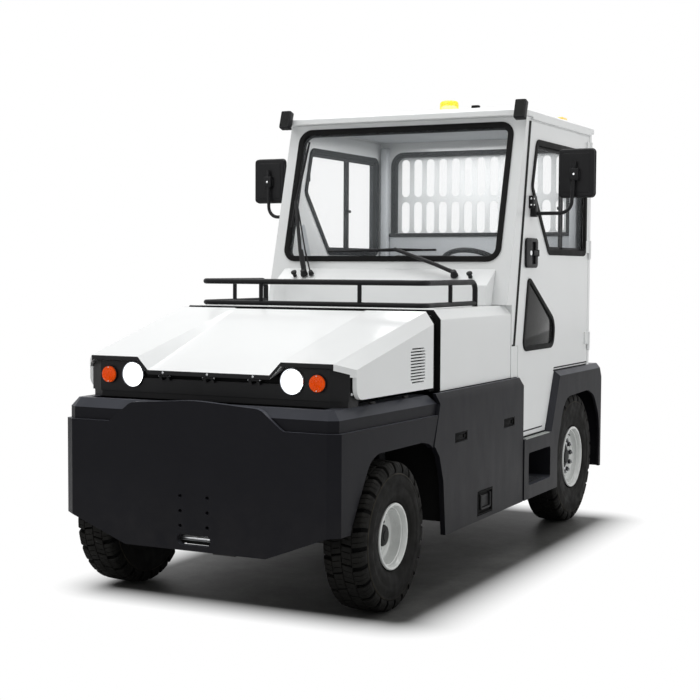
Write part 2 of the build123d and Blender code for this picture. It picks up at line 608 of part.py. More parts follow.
def rear_fender():
    """Left rear fender with the entry step built in, open over the wheel."""
    outline = fender_outline()
    outer = side_prism(outline, FENDER_INNER, FENDER_HALF)
    outer_face = outer.faces().sort_by(Axis.X)[-1]
    outer = chamfer([edge for edge in outer_face.edges() if edge.center().Z > STEP_TOP_Z + 5], FENDER_BEVEL)
    flat = make_face(Polyline(*outline, close=True))
    plane = Plane(origin=(FENDER_INNER - 10, at(0), 0), x_dir=(0, 1, 0), z_dir=(1, 0, 0))
    hollow = extrude(plane * offset(flat, amount=-SKIN, kind=Kind.INTERSECTION),
                     amount=FENDER_HALF - FENDER_BEVEL - FENDER_INNER + 4)
    rim_hollow = extrude(plane * offset(flat, amount=-FENDER_BEVEL - 4, kind=Kind.INTERSECTION),
                         amount=FENDER_HALF - SKIN - FENDER_INNER + 10)
    fender = outer - hollow - rim_hollow
    fender -= rear_arch(FENDER_INNER - 20, FENDER_HALF + 10)
    deep, rear = FENDER_INNER - 20, FENDER_REAR - SKIN
    fender -= block(deep, FENDER_HALF + 10, REAR_TYRE_FRONT + 33, REAR_AXLE + REAR_RADIUS + 81, 0, 250)
    fender -= block(deep, FENDER_HALF - SKIN, REAR_TYRE_FRONT - TYRE_ROOM, rear, 0, STEP_TOP_Z - 6)
    fender -= block(deep, FENDER_HALF - SKIN, REAR_AXLE, rear, 0, REAR_TYRE_TOP + 3)
    fender -= rod_x(deep, FENDER_HALF - WHEELHOUSE_SKIN, REAR_AXLE, REAR_AXLE_Z, REAR_RADIUS + TYRE_ROOM)
    front, rear = POCKET_STATIONS
    low, high = POCKET_HEIGHTS
    mouth = [(front, low), (front, high), (rear, high), (rear, low)]
    box = [(front - SKIN, low - SKIN), (front - SKIN, high + SKIN), (rear + SKIN, high + SKIN), (rear + SKIN, low - SKIN)]
    fender -= side_prism(mouth, FENDER_HALF - 60, FENDER_HALF + 10, POCKET_ROUND)
    fender += side_prism(box, FENDER_HALF - POCKET_DEPTH - 12, FENDER_HALF - SKIN, POCKET_ROUND)
    return fender - side_prism(mouth, FENDER_HALF - POCKET_DEPTH, FENDER_HALF + 10, POCKET_ROUND)


def rear_body():
    """Deck and rear face between the two fenders, behind the cab."""
    half = FENDER_INNER - SEAT_GAP
    front = CAB_REAR + REAR_WALL + SEAT_GAP
    rear = REAR_PLATE_STATION - SEAT_GAP
    deck = block(-half, half, front, rear, FENDER_TOP_Z - SKIN, FENDER_TOP_Z)
    return deck + block(-half, half, rear - SKIN, rear, FRAME_HIGH + SEAT_GAP, FENDER_TOP_Z)


def cab_front():
    """Windscreen frame with its two pillars, firewall below."""
    front = COWL_REAR + 2
    deck = COWL_TOP_Z + 2
    outline = [(front, COWL_BOTTOM), (front, deck), (screen_station(deck), deck),
               (screen_station(CAB_TOP_Z), CAB_TOP_Z), (SEAM_TOP[0], CAB_TOP_Z), SEAM_LOW, (SEAM_JOG, SEAM_LOW[1] - 8),
               (SEAM_JOG, COWL_BOTTOM)]
    wall, head = DOOR_WALL, CAB_TOP_Z - 30
    inner = [(screen_station(deck) + wall, deck - 9), (screen_station(head) + wall, head), (2400, head), (2400, 700),
             (front + wall, 700), (front + wall, deck - 9)]
    frame = side_prism(outline, -CAB_HALF, CAB_HALF) - side_prism(inner, -CAB_HALF + PILLAR, CAB_HALF - PILLAR)
    return frame - windscreen_hole(0)


def screen_plane():
    """Plane on the windscreen's outer face, at its middle."""
    rise = SCREEN_HIGH[1] - SCREEN_LOW[1]
    run = SCREEN_HIGH[0] - SCREEN_LOW[0]
    middle = (SCREEN_LOW[0] + SCREEN_HIGH[0]) / 2, (SCREEN_LOW[1] + SCREEN_HIGH[1]) / 2
    return Plane(origin=(0, at(middle[0]), middle[1]), x_dir=(1, 0, 0), z_dir=(0, -rise, run)), sqrt(rise ** 2 + run ** 2)


def windscreen_hole(gap, thickness=200.0):
    plane, length = screen_plane()
    sketch = RectangleRounded(2 * SCREEN_HALF - 2 * gap, length - 30 - 2 * gap, SCREEN_ROUND - gap)
    if thickness > 100:
        return extrude(plane * sketch, amount=thickness / 2, both=True)
    return extrude(plane.offset(-thickness - 8) * sketch, amount=thickness)


def roof():
    """Tray roof that overhangs the windscreen, with a gutter edge over each door."""
    plan = mirrored([(ROOF_CORNER[0], ROOF_FRONT), (ROOF_HALF, ROOF_CORNER[1]), (ROOF_HALF, ROOF_REAR)])
    z = CAB_TOP_Z + SEAT_GAP
    slab = plan_prism(plan, z, CAB_TOP_Z + ROOF_EDGE)
    base = Pos(0, at(0), CAB_TOP_Z + ROOF_EDGE) * make_face(Polyline(*plan, close=True))
    crown = Pos(0, at(0), CAB_TOP_Z + ROOF_RISE) * offset(
        make_face(Polyline(*plan, close=True)), amount=-ROOF_CROWN_INSET, kind=Kind.INTERSECTION)
    slab += loft([base, crown], ruled=True)
    front = SEAM_TOP[0] + SEAT_GAP
    for side in (-1, 1):
        slab += side_block(side, CAB_HALF - DOOR_WALL, ROOF_HALF, front, CAB_REAR - SEAT_GAP, GUTTER_Z, z)
    return slab


def rear_window_hole(gap, station_low, station_high):
    half = REAR_WINDOW_HALF - gap
    low, high = REAR_WINDOW_HEIGHTS[0] + gap, REAR_WINDOW_HEIGHTS[1] - gap
    points = [(-half, low), (half, low), (half, high), (-half, high)]
    return front_prism(points, station_low, station_high, REAR_WINDOW_ROUND - gap)


def rear_wall():
    """Rear wall of the cab with the fixed halves of the door hinges at its front corners."""
    wall = block(-CAB_HALF, CAB_HALF, CAB_REAR, CAB_REAR + REAR_WALL, FENDER_TOP_Z + SEAT_GAP, CAB_TOP_Z)
    x, station = DOOR_AXIS
    for side in (-1, 1):
        for low in HINGE_HEIGHTS:
            heights = low - HINGE_LENGTH / 2, low - SEAT_GAP
            wall += rod_z(side * x, station, *heights, HINGE_RADIUS)
            wall += side_block(side, CAB_HALF - HINGE_RADIUS, x, CAB_REAR, CAB_REAR + 3 * HINGE_RADIUS, *heights)
            wall += side_block(side, x - 5, x, station, CAB_REAR + 4, *heights)
    return wall - rear_window_hole(0, CAB_REAR - 10, CAB_REAR + REAR_WALL + 10)


def rear_guard():
    """Slotted steel guard over the rear window."""
    face = CAB_REAR + REAR_WALL + SEAT_GAP
    low, high = GUARD_HEIGHTS
    points = [(-GUARD_HALF, low), (GUARD_HALF, low), (GUARD_HALF, high), (-GUARD_HALF, high)]
    guard = front_prism(points, face, face + GUARD_THICKNESS, GUARD_MARGIN)
    columns = int(2 * (GUARD_HALF - GUARD_MARGIN) // SLOT_PITCH)
    for row_low, row_high in SLOT_ROWS:
        for column in range(columns):
            x = (column - (columns - 1) / 2) * SLOT_PITCH
            middle = Pos(x, at(face), (row_low + row_high) / 2) * Rot(90, 0, 0)
            slot = SlotOverall(row_high - row_low, SLOT_WIDTH, rotation=90)
            guard -= middle * extrude(slot, amount=4 * GUARD_THICKNESS, both=True)
    return guard


def cab_glass():
    """Windscreen and rear window panes."""
    front = CAB_REAR + (REAR_WALL - GLASS) / 2
    return Compound(children=[windscreen_hole(GLASS_FIT, GLASS), rear_window_hole(GLASS_FIT, front, front + GLASS)])


def floor_half():
    return CAB_HALF - DOOR_WALL - DOOR_GAP - 2


def cab_floor():
    """Floor well in front, platform for the seats behind, and the walls that join them."""
    inner = floor_half()
    narrow = FENDER_INNER - 20
    front = COWL_REAR + 2
    rear = CAB_REAR - SEAT_GAP
    floor = block(-inner, inner, front, RISER, FLOOR_Z - PLATE, FLOOR_Z)
    floor += block(-inner, inner, front, front + PLATE, FLOOR_Z, COWL_BOTTOM - 1)
    floor += block(-inner, inner, RISER - PLATE, RISER, FLOOR_Z, PLATFORM_Z)
    floor += block(-inner, inner, RISER - PLATE, rear, PLATFORM_Z - 24, PLATFORM_Z)
    return floor + block(-narrow, narrow, rear - PLATE, rear, FLOOR_Z, PLATFORM_Z)


def door_outline():
    gap = DOOR_GAP
    panel_edge = PANEL_REAR + 12
    front = SEAM_JOG + gap
    slope = (SEAM_TOP[0] - SEAM_LOW[0]) / (SEAM_TOP[1] - SEAM_LOW[1])
    top_front = SEAM_LOW[0] + slope * (DOOR_TOP_Z - SEAM_LOW[1])
    over_fender = FENDER_TOP_Z + 22
    return [(top_front + gap, DOOR_TOP_Z), (SEAM_LOW[0] + gap, SEAM_LOW[1]), (front, SEAM_LOW[1]),
            (front, PANEL_TOP_Z + 6), (panel_edge, 803), (panel_edge, SILL_Z), (fender_line(SILL_Z) - SILL_STRIP, SILL_Z),
            (fender_line(over_fender) - DOOR_STRIP, over_fender), (CAB_REAR - gap, over_fender),
            (CAB_REAR - gap, DOOR_TOP_Z)]


def door_sill():
    """Fixed strip of the cab's side under the left door, along the step and over the fender."""
    front = PANEL_REAR + 12
    rear = CAB_REAR - SEAT_GAP
    step = STEP_TOP_Z + 10
    fender = FENDER_TOP_Z + SEAT_GAP
    outline = [(front, step), (fender_line(step) - 2 * SEAT_GAP, step), (FENDER_FRONT - 2 * SEAT_GAP, fender), (rear, fender), (rear, fender + 60),
               (FENDER_FRONT - 60, fender + 60), (front, step + 60)]
    keep = make_face(Polyline(*outline, close=True)) - offset(
        make_face(Polyline(*door_outline(), close=True)), amount=DOOR_GAP, kind=Kind.INTERSECTION)
    plane = Plane(origin=(floor_half() + SEAT_GAP, at(0), 0), x_dir=(0, 1, 0), z_dir=(1, 0, 0))
    return extrude(plane * keep, amount=CAB_HALF - 4 - floor_half() - SEAT_GAP)


def fitting_rounds(corners):
    """The corners, with smaller radii where two roundings don't fit on the edge between them."""
    points = [Vector(station, z) for station, z, _ in corners]
    edges = [points[i - 1] - points[i] for i in range(len(points))]
    turns = [radians(180 - edges[i].get_angle(points[(i + 1) % len(points)] - points[i])) for i in range(len(points))]
    reach = [radius * tan(turn / 2) for (_, _, radius), turn in zip(corners, turns)]
    share = [min(1.0, 0.995 * edges[i].length / (reach[i - 1] + reach[i])) for i in range(len(points))]
    return [(station, z, radius * min(share[i], share[(i + 1) % len(points)]))
            for i, (station, z, radius) in enumerate(corners)]


def door_window(corners, gap, x_low, x_high):
    """A pane's outline, with its own radius at each corner, drawn in by gap."""
    face = make_face(Polyline(*[(station, z) for station, z, _ in corners], close=True))
    for station, z, radius in fitting_rounds(corners):
        face = fillet([v for v in face.vertices() if abs(v.X - station) < 0.5 and abs(v.Y - z) < 0.5], radius)
    if gap:
        face = offset(face, amount=-gap)
    plane = Plane(origin=(x_low, at(0), 0), x_dir=(0, 1, 0), z_dir=(1, 0, 0))
    return extrude(plane * face, amount=x_high - x_low)


def door():
    outer = CAB_HALF
    panel = side_prism(door_outline(), outer - DOOR_WALL, outer)
    panel -= door_window(WINDOW, 0, outer - 100, outer + 10)
    panel -= door_window(LOWER_WINDOW, 0, outer - 100, outer + 10)
    x, station = DOOR_AXIS
    for low in HINGE_HEIGHTS:
        high = low + HINGE_LENGTH
        panel += rod_z(x, station, low, high, HINGE_RADIUS + 1)
        panel += block(outer - 12, x, station - 60, station - 4, low, high)
    return panel


def door_glass():
    low = CAB_HALF - DOOR_WALL / 2 - GLASS / 2
    return Compound(children=[door_window(pane, GLASS_FIT, low, low + GLASS) for pane in (WINDOW, LOWER_WINDOW)])


def mirror_arm():
    """Door mirror: bracket on the door, bent tube and head."""
    face = CAB_HALF + SEAT_GAP
    bracket = block(face, face + 26, 2075, 2145, 1650, 1762)
    path = FilletPolyline((face + 20, at(2112), 1692), (face + 202, at(2140), 1692), (face + 217, at(2150), 1935),
                          radius=60)
    tube = sweep(Plane(origin=path @ 0, z_dir=path % 0) * Circle(9), path=path)
    head = fillet(block(face + 122, face + 316, 2160, 2196, 1752, 2000).edges(), 14)
    return bracket + tube + head + block(face + 192, face + 242, 2140, 2165, 1850, 1900)


def door_handle():
    face = CAB_HALF + SEAT_GAP
    base = fillet(block(face, face + 16, 2052, 2172, 1396, 1544).edges(), 6)
    return base + block(face + 14, face + 42, 2110, 2190, 1450, 1485)


def tyre(radius, width, rim_radius, rim_half, side):
    """Tyre centred on its own hub: side is 1 for a left wheel."""
    seat = rim_radius - 13.7
    bead = rim_half - 13
    half = width / 2
    crown = radius * 0.985
    outline = (
        Line((-bead, seat), (-bead, rim_radius + 4))
        + ThreePointArc((-bead, rim_radius + 4), (-half, (rim_radius + radius) / 2), (-half * 0.86, crown - 6))
        + ThreePointArc((-half * 0.86, crown - 6), (0, radius), (half * 0.86, crown - 6))
        + ThreePointArc((half * 0.86, crown - 6), (half, (rim_radius + radius) / 2), (bead, rim_radius + 4))
        + Line((bead, rim_radius + 4), (bead, seat))
        + Line((bead, seat), (-bead, seat)))
    face = Plane(origin=(0, 0, 0), x_dir=(side, 0, 0), z_dir=(0, -side, 0)) * make_face(outline)
    return revolve(face, axis=Axis.X)


def rim(half, rim_radius, disc_x, hub_radius, hub_out, side, lugs):
    """Steel disc wheel centred on its own hub, with a hub that runs on the spindle."""
    seat = rim_radius - 14
    wall = 9.0
    disc = 12.0
    inner = seat - wall
    bore = SPINDLE_RADIUS + RUNNING_FIT
    points = [
        (-half, rim_radius), (-half + 8, rim_radius), (-half + 12, seat), (half - 12, seat), (half - 8, rim_radius),
        (half, rim_radius), (half - 4, inner), (disc_x + disc, inner - 4), (disc_x + disc + 6, hub_radius + 26),
        (disc_x + disc, hub_radius), (hub_out, hub_radius - 8), (hub_out, 0), (hub_out - 14, 0),
        (hub_out - 14, bore), (disc_x - 40, bore), (disc_x - 40, hub_radius), (disc_x, hub_radius),
        (disc_x, inner), (-half + 4, inner)]
    face = Plane(origin=(0, 0, 0), x_dir=(side, 0, 0), z_dir=(0, -side, 0)) * make_face(Polyline(*points, close=True))
    wheel = revolve(face, axis=Axis.X)
    reach = hub_radius + 22
    for index in range(lugs):
        angle = 2 * pi * index / lugs
        stud = Pos(side * (disc_x + disc + 8), reach * cos(angle), reach * sin(angle)) * Rot(0, 90, 0)
        wheel += stud * Cylinder(LUG_RADIUS, 24)
    return wheel


# Wheel table: station, radius, tyre width, outer face, rim radius, half rim, disc place, hub radius, hub end, lugs
WHEELS = {
    "front": (FRONT_AXLE, FRONT_RADIUS, FRONT_TYRE_WIDTH, FRONT_TYRE_OUTER, FRONT_RIM_RADIUS, FRONT_RIM_HALF,
              4.0, 46.0, 52.0, FRONT_LUGS),
    "rear": (REAR_AXLE, REAR_RADIUS, REAR_TYRE_WIDTH, REAR_TYRE_OUTER, REAR_RIM_RADIUS, REAR_RIM_HALF,
             22.0, 62.0, 58.0, REAR_LUGS),
}


def wheels():
    for name, (station, radius, width, outer, rim_radius, half, disc_x, hub, hub_out, lugs) in WHEELS.items():
        for side, label in ((1, "left"), (-1, "right")):
            place = Pos(side * (outer - width / 2), at(station), radius - BODY_DATUM)
            save(place * tyre(radius, width, rim_radius, half, side), f"{name}_tyre_{label}")
            save(place * rim(half, rim_radius, disc_x, hub, hub_out, side, lugs), f"{name}_rim_{label}")


def knuckle():
    """Left steering knuckle: boss and pin on the kingpin axis, spindle out to the wheel."""
    z = FRONT_AXLE_Z
    centre = FRONT_TYRE_OUTER - FRONT_TYRE_WIDTH / 2
    boss = rod_z(KINGPIN_X, FRONT_AXLE, z - 38, z + 38, 36)
    pin = rod_z(KINGPIN_X, FRONT_AXLE, z - 72, z + 72, KINGPIN_RADIUS)
    spindle = rod_x(KINGPIN_X, centre + 36, FRONT_AXLE, z, SPINDLE_RADIUS)
    shoulder = rod_x(KINGPIN_X + 20, centre - 38, FRONT_AXLE, z, SPINDLE_RADIUS + 12)
    arm = block(KINGPIN_X - 20, KINGPIN_X + 20, FRONT_AXLE, FRONT_AXLE + 150, z - 36, z - 12)
    return boss + pin + spindle + shoulder + arm


def front_axle():
    """Axle beam with a fork at each end for the kingpin, and pads up to the frame."""
    z = FRONT_AXLE_Z
    beam = block(-KINGPIN_X + 60, KINGPIN_X - 60, FRONT_AXLE - 45, FRONT_AXLE + 45, z - 50, z + 50)
    for side in (-1, 1):
        for low in (z - 66, z + 46):
            beam += side_block(side, KINGPIN_X - 70, KINGPIN_X, FRONT_AXLE - 32, FRONT_AXLE + 32, low, low + 20)
            beam += rod_z(side * KINGPIN_X, FRONT_AXLE, low, low + 20, 32)
        beam += side_block(side, FRAME_HALF - 78, FRAME_HALF - 18, FRONT_AXLE - 45, FRONT_AXLE + 45, z, FRAME_LOW - SEAT_GAP)
        beam -= rod_z(side * KINGPIN_X, FRONT_AXLE, z - 100, z + 100, KINGPIN_RADIUS + RUNNING_FIT)
    return beam


def rear_axle():
    """Banjo axle: housing, brake drums and wheel spindles turned about one line, with frame pads."""
    centre = REAR_TYRE_OUTER - REAR_TYRE_WIDTH / 2
    tube = AXLE_TUBE_RADIUS
    half = [(0, 128), (60, 122), (130, tube), (centre - 60, tube), (centre - 60, 126), (centre - 24, 126),
            (centre - 24, SPINDLE_RADIUS), (centre + 40, SPINDLE_RADIUS), (centre + 40, 0)]
    outline = [(-x, r) for x, r in reversed(half[1:])] + half
    face = Plane(origin=(0, 0, 0), x_dir=(1, 0, 0), z_dir=(0, -1, 0)) * make_face(Polyline(*outline, close=True))
    housing = Pos(0, at(REAR_AXLE), REAR_AXLE_Z) * revolve(face, axis=Axis.X)
    for side in (-1, 1):
        housing += side_block(side, FRAME_HALF - 63, FRAME_HALF - 13, REAR_AXLE - 60, REAR_AXLE + 60, REAR_AXLE_Z,
                              FRAME_LOW - SEAT_GAP)
    return housing


def chassis_frame():
    """Ladder frame: two rails, cross-members, outriggers for the side covers, end plates."""
    high, low = FRAME_HIGH - 20, FRAME_LOW + 20
    frame = None
    for side in (-1, 1):
        rail = side_block(side, FRAME_HALF - RAIL_WIDTH, FRAME_HALF, 112, REAR_PLATE_STATION, FRAME_LOW, FRAME_HIGH)
        frame = rail if frame is None else frame + rail
    for station in (900, 1500, REAR_TYRE_FRONT - 179, REAR_AXLE + 260):
        frame += block(-FRAME_HALF, FRAME_HALF, station, station + CROSS_DEPTH, low, high)
    rear = REAR_PLATE_STATION, REAR_PLATE_STATION + REAR_PLATE
    frame += block(-FRAME_HALF - 60, FRAME_HALF + 60, *rear, 260, 700)
    frame += block(-FRAME_HALF - 20, FRAME_HALF + 20, 110, 135, 300, 830)
    half = PANEL_INNER - SEAT_GAP
    for station in (1050, 1900):
        frame += block(-half, half, station, station + 40, low, high)
    return frame


def power_unit():
    return block(-300, 300, 560, 1780, FRAME_HIGH + SEAT_GAP, 1080)


def dashboard():
    outline = [(1900, 1080), (1900, 1395), (1960, 1410), (2090, 1330), (2050, 1080)]
    half = CAB_HALF - PILLAR - SEAT_GAP
    return side_prism(outline, -half, half)


def steering_place():
    x, station, z = WHEEL_CENTRE
    return Pos(x, at(station), z) * Rot(WHEEL_TILT, 0, 0)


def steering_wheel():
    span = 2 * WHEEL_RIM - 30
    ring = Torus(WHEEL_RIM - WHEEL_GRIP, WHEEL_GRIP)
    return steering_place() * (ring + Box(span, 26, 12) + Box(26, span, 12) + Cylinder(44, 50))


def steering_column():
    column = steering_place() * Pos(0, 0, -25.5 - COLUMN_LENGTH / 2) * Cylinder(COLUMN_RADIUS, COLUMN_LENGTH)
    return column - dashboard()


def seats():
    """Cushion and back of the driver's and the passenger's seat."""
    pads = []
    front = SEAT_REAR - SEAT_BACK - SEAT_DEPTH
    back_front = SEAT_REAR - SEAT_BACK + SEAT_GAP
    for x in (-SEAT_X, SEAT_X):
        cushion = block(x - 230, x + 230, front, SEAT_REAR - SEAT_BACK, SEAT_TOP_Z - 110, SEAT_TOP_Z)
        back = block(x - 225, x + 225, back_front, SEAT_REAR, SEAT_TOP_Z - 90, SEAT_BACK_TOP_Z)
        pads += [fillet(cushion.edges(), 30), fillet(back.edges(), 30)]
    return Compound(children=pads)


def seat_base(x):
    front = SEAT_REAR - SEAT_BACK - SEAT_DEPTH + 40
    return block(x - 190, x + 190, front, SEAT_REAR - 40, PLATFORM_Z + SEAT_GAP, SEAT_TOP_Z - 110 - SEAT_GAP)


def tow_hitch():
    """Stepped coupling: a heavy back plate with horizontal jaws for one drop pin."""
    back = REAR_PLATE_STATION + REAR_PLATE + SEAT_GAP
    plate = block(-110, 110, back, back + 25, 300, 640)
    for level in range(JAWS):
        z = JAW_LOW_Z + level * JAW_PITCH
        plate += block(-JAW_HALF, JAW_HALF, back + 20, LENGTH, z, z + JAW_THICKNESS)
    return plate - rod_z(0, HITCH_PIN_STATION, 290, 700, HITCH_PIN_RADIUS + 1)


def hitch_pin():
    top = JAW_LOW_Z + (JAWS - 1) * JAW_PITCH + JAW_THICKNESS
    pin = rod_z(0, HITCH_PIN_STATION, JAW_LOW_Z - 15, top + 35, HITCH_PIN_RADIUS)
    return pin + rod_z(0, HITCH_PIN_STATION, top + 0.5, top + 15, HITCH_PIN_RADIUS + 11)


def rear_lamps():
    face = FENDER_REAR + SEAT_GAP
    lamp = block(FENDER_HALF - 105, FENDER_HALF - 15, face, face + 28, 560, 760)
    return both_sides(fillet(lamp.edges(), 6))


def roof_lamps():
    lamp = Pos(SIDE_HALF - 16, at(ROOF_FRONT - 22 - SEAT_GAP), CAB_TOP_Z + 43) * Rot(0, 6, 0) * Box(58, 44, 98)
    return both_sides(fillet(lamp.edges(), 5))


def beacon():
    return Pos(0, at(2640), CAB_TOP_Z + ROOF_RISE + SEAT_GAP) * extrude(Circle(59), amount=105, taper=4)


def wipers():
    """Two wiper arms on bosses on the wiper box, their blades just off the windscreen."""
    rise = SCREEN_HIGH[1] - SCREEN_LOW[1]
    run = SCREEN_HIGH[0] - SCREEN_LOW[0]
    glass = Plane(origin=(0, at(SCREEN_LOW[0]), SCREEN_LOW[1]), x_dir=(1, 0, 0), z_dir=(0, -rise, run))
    # pivot x, arm end x and height up the glass, blade start x and height, blade end x and height
    table = [(-472, -560, 300, -575, 60, -552, 500), (408, 190, 32, -160, 40, 330, 38)]
    slope = (SCUTTLE_TOP_Z - SCUTTLE_EDGE_Z) / (screen_station(SCUTTLE_TOP_Z) - SCUTTLE_FRONT - 10)
    foot = 1760.0
    foot_z = SCUTTLE_EDGE_Z + slope * (foot - SCUTTLE_FRONT - 10) + 0.4
    pieces = []
    for pivot, arm_x, arm_up, low_x, low_up, high_x, high_up in table:
        boss = Plane(origin=(pivot, at(foot), foot_z), z_dir=(0, -slope, 1)) * Pos(0, 0, 14) * Cylinder(19, 28)
        tip = glass.from_local_coords((arm_x, arm_up, 26))
        blade = rod_between(glass.from_local_coords((low_x, low_up, 16)),
                            glass.from_local_coords((high_x, high_up, 16)), 9)
        arm = rod_between(Vector(pivot, at(foot - 8), foot_z + 24), tip, 7)
        link = rod_between(tip, glass.from_local_coords((arm_x, arm_up, 12)), 5)
        pieces.append(boss + arm + blade + link)
    return Compound(children=pieces)


def main():
    save(chassis_frame(), "chassis_frame")
    save(front_bumper(), "front_bumper")
    save(Compound(children=[front_tow_pin(), hitch_pin()]), "tow_pins")
    save(hood(), "hood")
    save(headlamp_panel(), "headlamp_panel")
    save(lamp_row(LAMP_X, LAMP_RADIUS, PANEL_FRONT - 8, LAMP_DEPTH), "headlamps")
    save(lamp_row(INDICATOR_X, INDICATOR_RADIUS, PANEL_FRONT - 14, INDICATOR_DEPTH), "indicators")
    save(cowl(), "cowl")
    save(hood_seal(), "hood_seal")
    save(scuttle(), "scuttle")
    save(hood_rail(), "hood_rail")
    panel = side_panel()
    save(panel, "side_panel_left")
    save(other_side(panel), "side_panel_right")
    fender = rear_fender()
    save(fender, "rear_fender_left")
    save(other_side(fender), "rear_fender_right")
    save(rear_body(), "rear_body")
    save(cab_front(), "cab_front")
    save(cab_glass(), "cab_glass")
    save(roof(), "roof")
    save(rear_wall(), "rear_wall")
    save(rear_guard(), "rear_guard")
    save(cab_floor(), "cab_floor")
    save(both_sides(door_sill()), "door_sills")
    save(dashboard(), "dashboard")
    save(steering_column(), "steering_column")
    save(steering_wheel(), "steering_wheel")
    save(Compound(children=[seat_base(-SEAT_X), seat_base(SEAT_X)]), "seat_bases")
    save(seats(), "seats")
    save(power_unit(), "power_unit")
    save(front_axle(), "front_axle")
    left_knuckle = knuckle()
    save(left_knuckle, "knuckle_left")
    save(other_side(left_knuckle), "knuckle_right")
    save(rear_axle(), "rear_axle")
    wheels()
    left_door = door()
    save(left_door, "door_left")
    save(other_side(left_door), "door_right")
    panes = door_glass()
    save(panes, "door_glass_left")
    save(other_side(panes), "door_glass_right")
    fittings = Compound(children=[mirror_arm(), door_handle()])
    save(fittings, "door_fittings_left")
    save(other_side(fittings), "door_fittings_right")
    save(wipers(), "wipers")
    save(roof_lamps(), "roof_lamps")
    save(beacon(), "beacon")
    save(rear_lamps(), "rear_lamps")
    save(tow_hitch(), "tow_hitch")


main()
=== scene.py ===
import bpy
import bmesh
import json
from math import cos, hypot, pi, radians, sin, tan
from mathutils import Matrix, Vector


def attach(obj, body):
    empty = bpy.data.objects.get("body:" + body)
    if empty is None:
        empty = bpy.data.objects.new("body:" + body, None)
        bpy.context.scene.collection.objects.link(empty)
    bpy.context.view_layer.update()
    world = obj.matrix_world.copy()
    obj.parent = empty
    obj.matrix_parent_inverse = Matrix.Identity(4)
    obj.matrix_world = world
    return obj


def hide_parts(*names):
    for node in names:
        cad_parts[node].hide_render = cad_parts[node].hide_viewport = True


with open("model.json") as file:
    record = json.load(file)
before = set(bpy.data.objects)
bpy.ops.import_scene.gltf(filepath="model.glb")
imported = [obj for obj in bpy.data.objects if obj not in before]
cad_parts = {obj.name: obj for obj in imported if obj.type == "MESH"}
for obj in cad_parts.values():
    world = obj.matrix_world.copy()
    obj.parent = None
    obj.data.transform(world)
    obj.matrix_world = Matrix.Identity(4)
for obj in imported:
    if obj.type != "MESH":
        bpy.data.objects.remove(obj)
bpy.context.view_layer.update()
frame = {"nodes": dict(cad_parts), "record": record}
scene = bpy.context.scene
NODES = frame["nodes"]

# Places are in millimetres: x to the vehicle's left, station back from the bumper's face, and height z over
# the body's datum plane, which lies BODY_DATUM above the ground.
HALF_LENGTH, BODY_DATUM = 1710.0, 25.0
MM = 0.001
# Points of a mesh that lie nearer than this, in metres, become one
WELD = 2e-5


def place(x, station, z):
    return Vector((x, station - HALF_LENGTH, z + BODY_DATUM)) * MM


def basis(origin, right, normal):
    """Matrix that puts a drawing's x along right and its z along normal, at origin."""
    z = Vector(normal).normalized()
    x = Vector(right)
    x = (x - z * x.dot(z)).normalized()
    y = z.cross(x)
    matrix = Matrix((x, y, z)).transposed().to_4x4()
    matrix.translation = origin
    return matrix


def side_plane(x, side=1):
    """Drawing plane on a side of the vehicle: x is the station, y the height, z points outward."""
    matrix = Matrix(((0, 0, side, 0), (1, 0, 0, 0), (0, 1, 0, 0), (0, 0, 0, 1)))
    matrix.translation = Vector((side * x, -HALF_LENGTH, BODY_DATUM)) * MM
    return matrix


def front_plane(station, x=0.0, z=0.0):
    """Drawing plane across the vehicle: x is left, y the height, z points forward."""
    return basis(place(x, station, z), (1, 0, 0), (0, -1, 0))


def linked(name, data):
    """A new object in the scene."""
    obj = bpy.data.objects.new(name, data)
    scene.collection.objects.link(obj)
    return obj


# Camera
CAMERA_PLACE = (3.1195, -6.5177, 1.4133)
YAW, PITCH, ROLL = radians(26.6527), radians(-3.308), radians(0.2887)
SENSOR_WIDTH, PHOTO_PIXELS, FOCAL_PIXELS = 36.0, 700, 1417.4


def make_camera():
    data = bpy.data.cameras.new("camera")
    data.sensor_width = SENSOR_WIDTH
    data.lens = FOCAL_PIXELS / PHOTO_PIXELS * SENSOR_WIDTH
    data.clip_end = 200
    camera = linked("camera", data)
    forward = Vector((-sin(YAW) * cos(PITCH), cos(YAW) * cos(PITCH), sin(PITCH)))
    level = Vector((cos(YAW), sin(YAW), 0))
    rise = level.cross(forward)
    right = cos(ROLL) * level + sin(ROLL) * rise
    up = -sin(ROLL) * level + cos(ROLL) * rise
    matrix = Matrix((right, up, -forward)).transposed().to_4x4()
    matrix.translation = CAMERA_PLACE
    camera.matrix_world = matrix
    scene.camera = camera


make_camera()


# Materials
class Nodes:
    """A node tree with short calls."""

    def __init__(self, tree):
        self.tree = tree

    def node(self, kind, links=None, **settings):
        node = self.tree.nodes.new(kind)
        for key, value in settings.items():
            setattr(node, key, value)
        for key, value in (links or {}).items():
            self.put(node.inputs[key], value)
        return node

    def put(self, socket, value):
        if isinstance(value, bpy.types.NodeSocket):
            self.tree.links.new(value, socket)
        else:
            socket.default_value = value

    def math(self, operation, first, second=0.0):
        return self.node("ShaderNodeMath", {0: first, 1: second}, operation=operation).outputs[0]

    def times(self, first, second):
        return self.math("MULTIPLY", first, second)

    def plus(self, first, second):
        return self.math("ADD", first, second)

    def minus(self, first, second):
        return self.math("SUBTRACT", first, second)

    def reach(self, first, second):
        """Distance from the middle, from its two parts."""
        return self.math("SQRT", self.plus(self.times(first, first), self.times(second, second)))


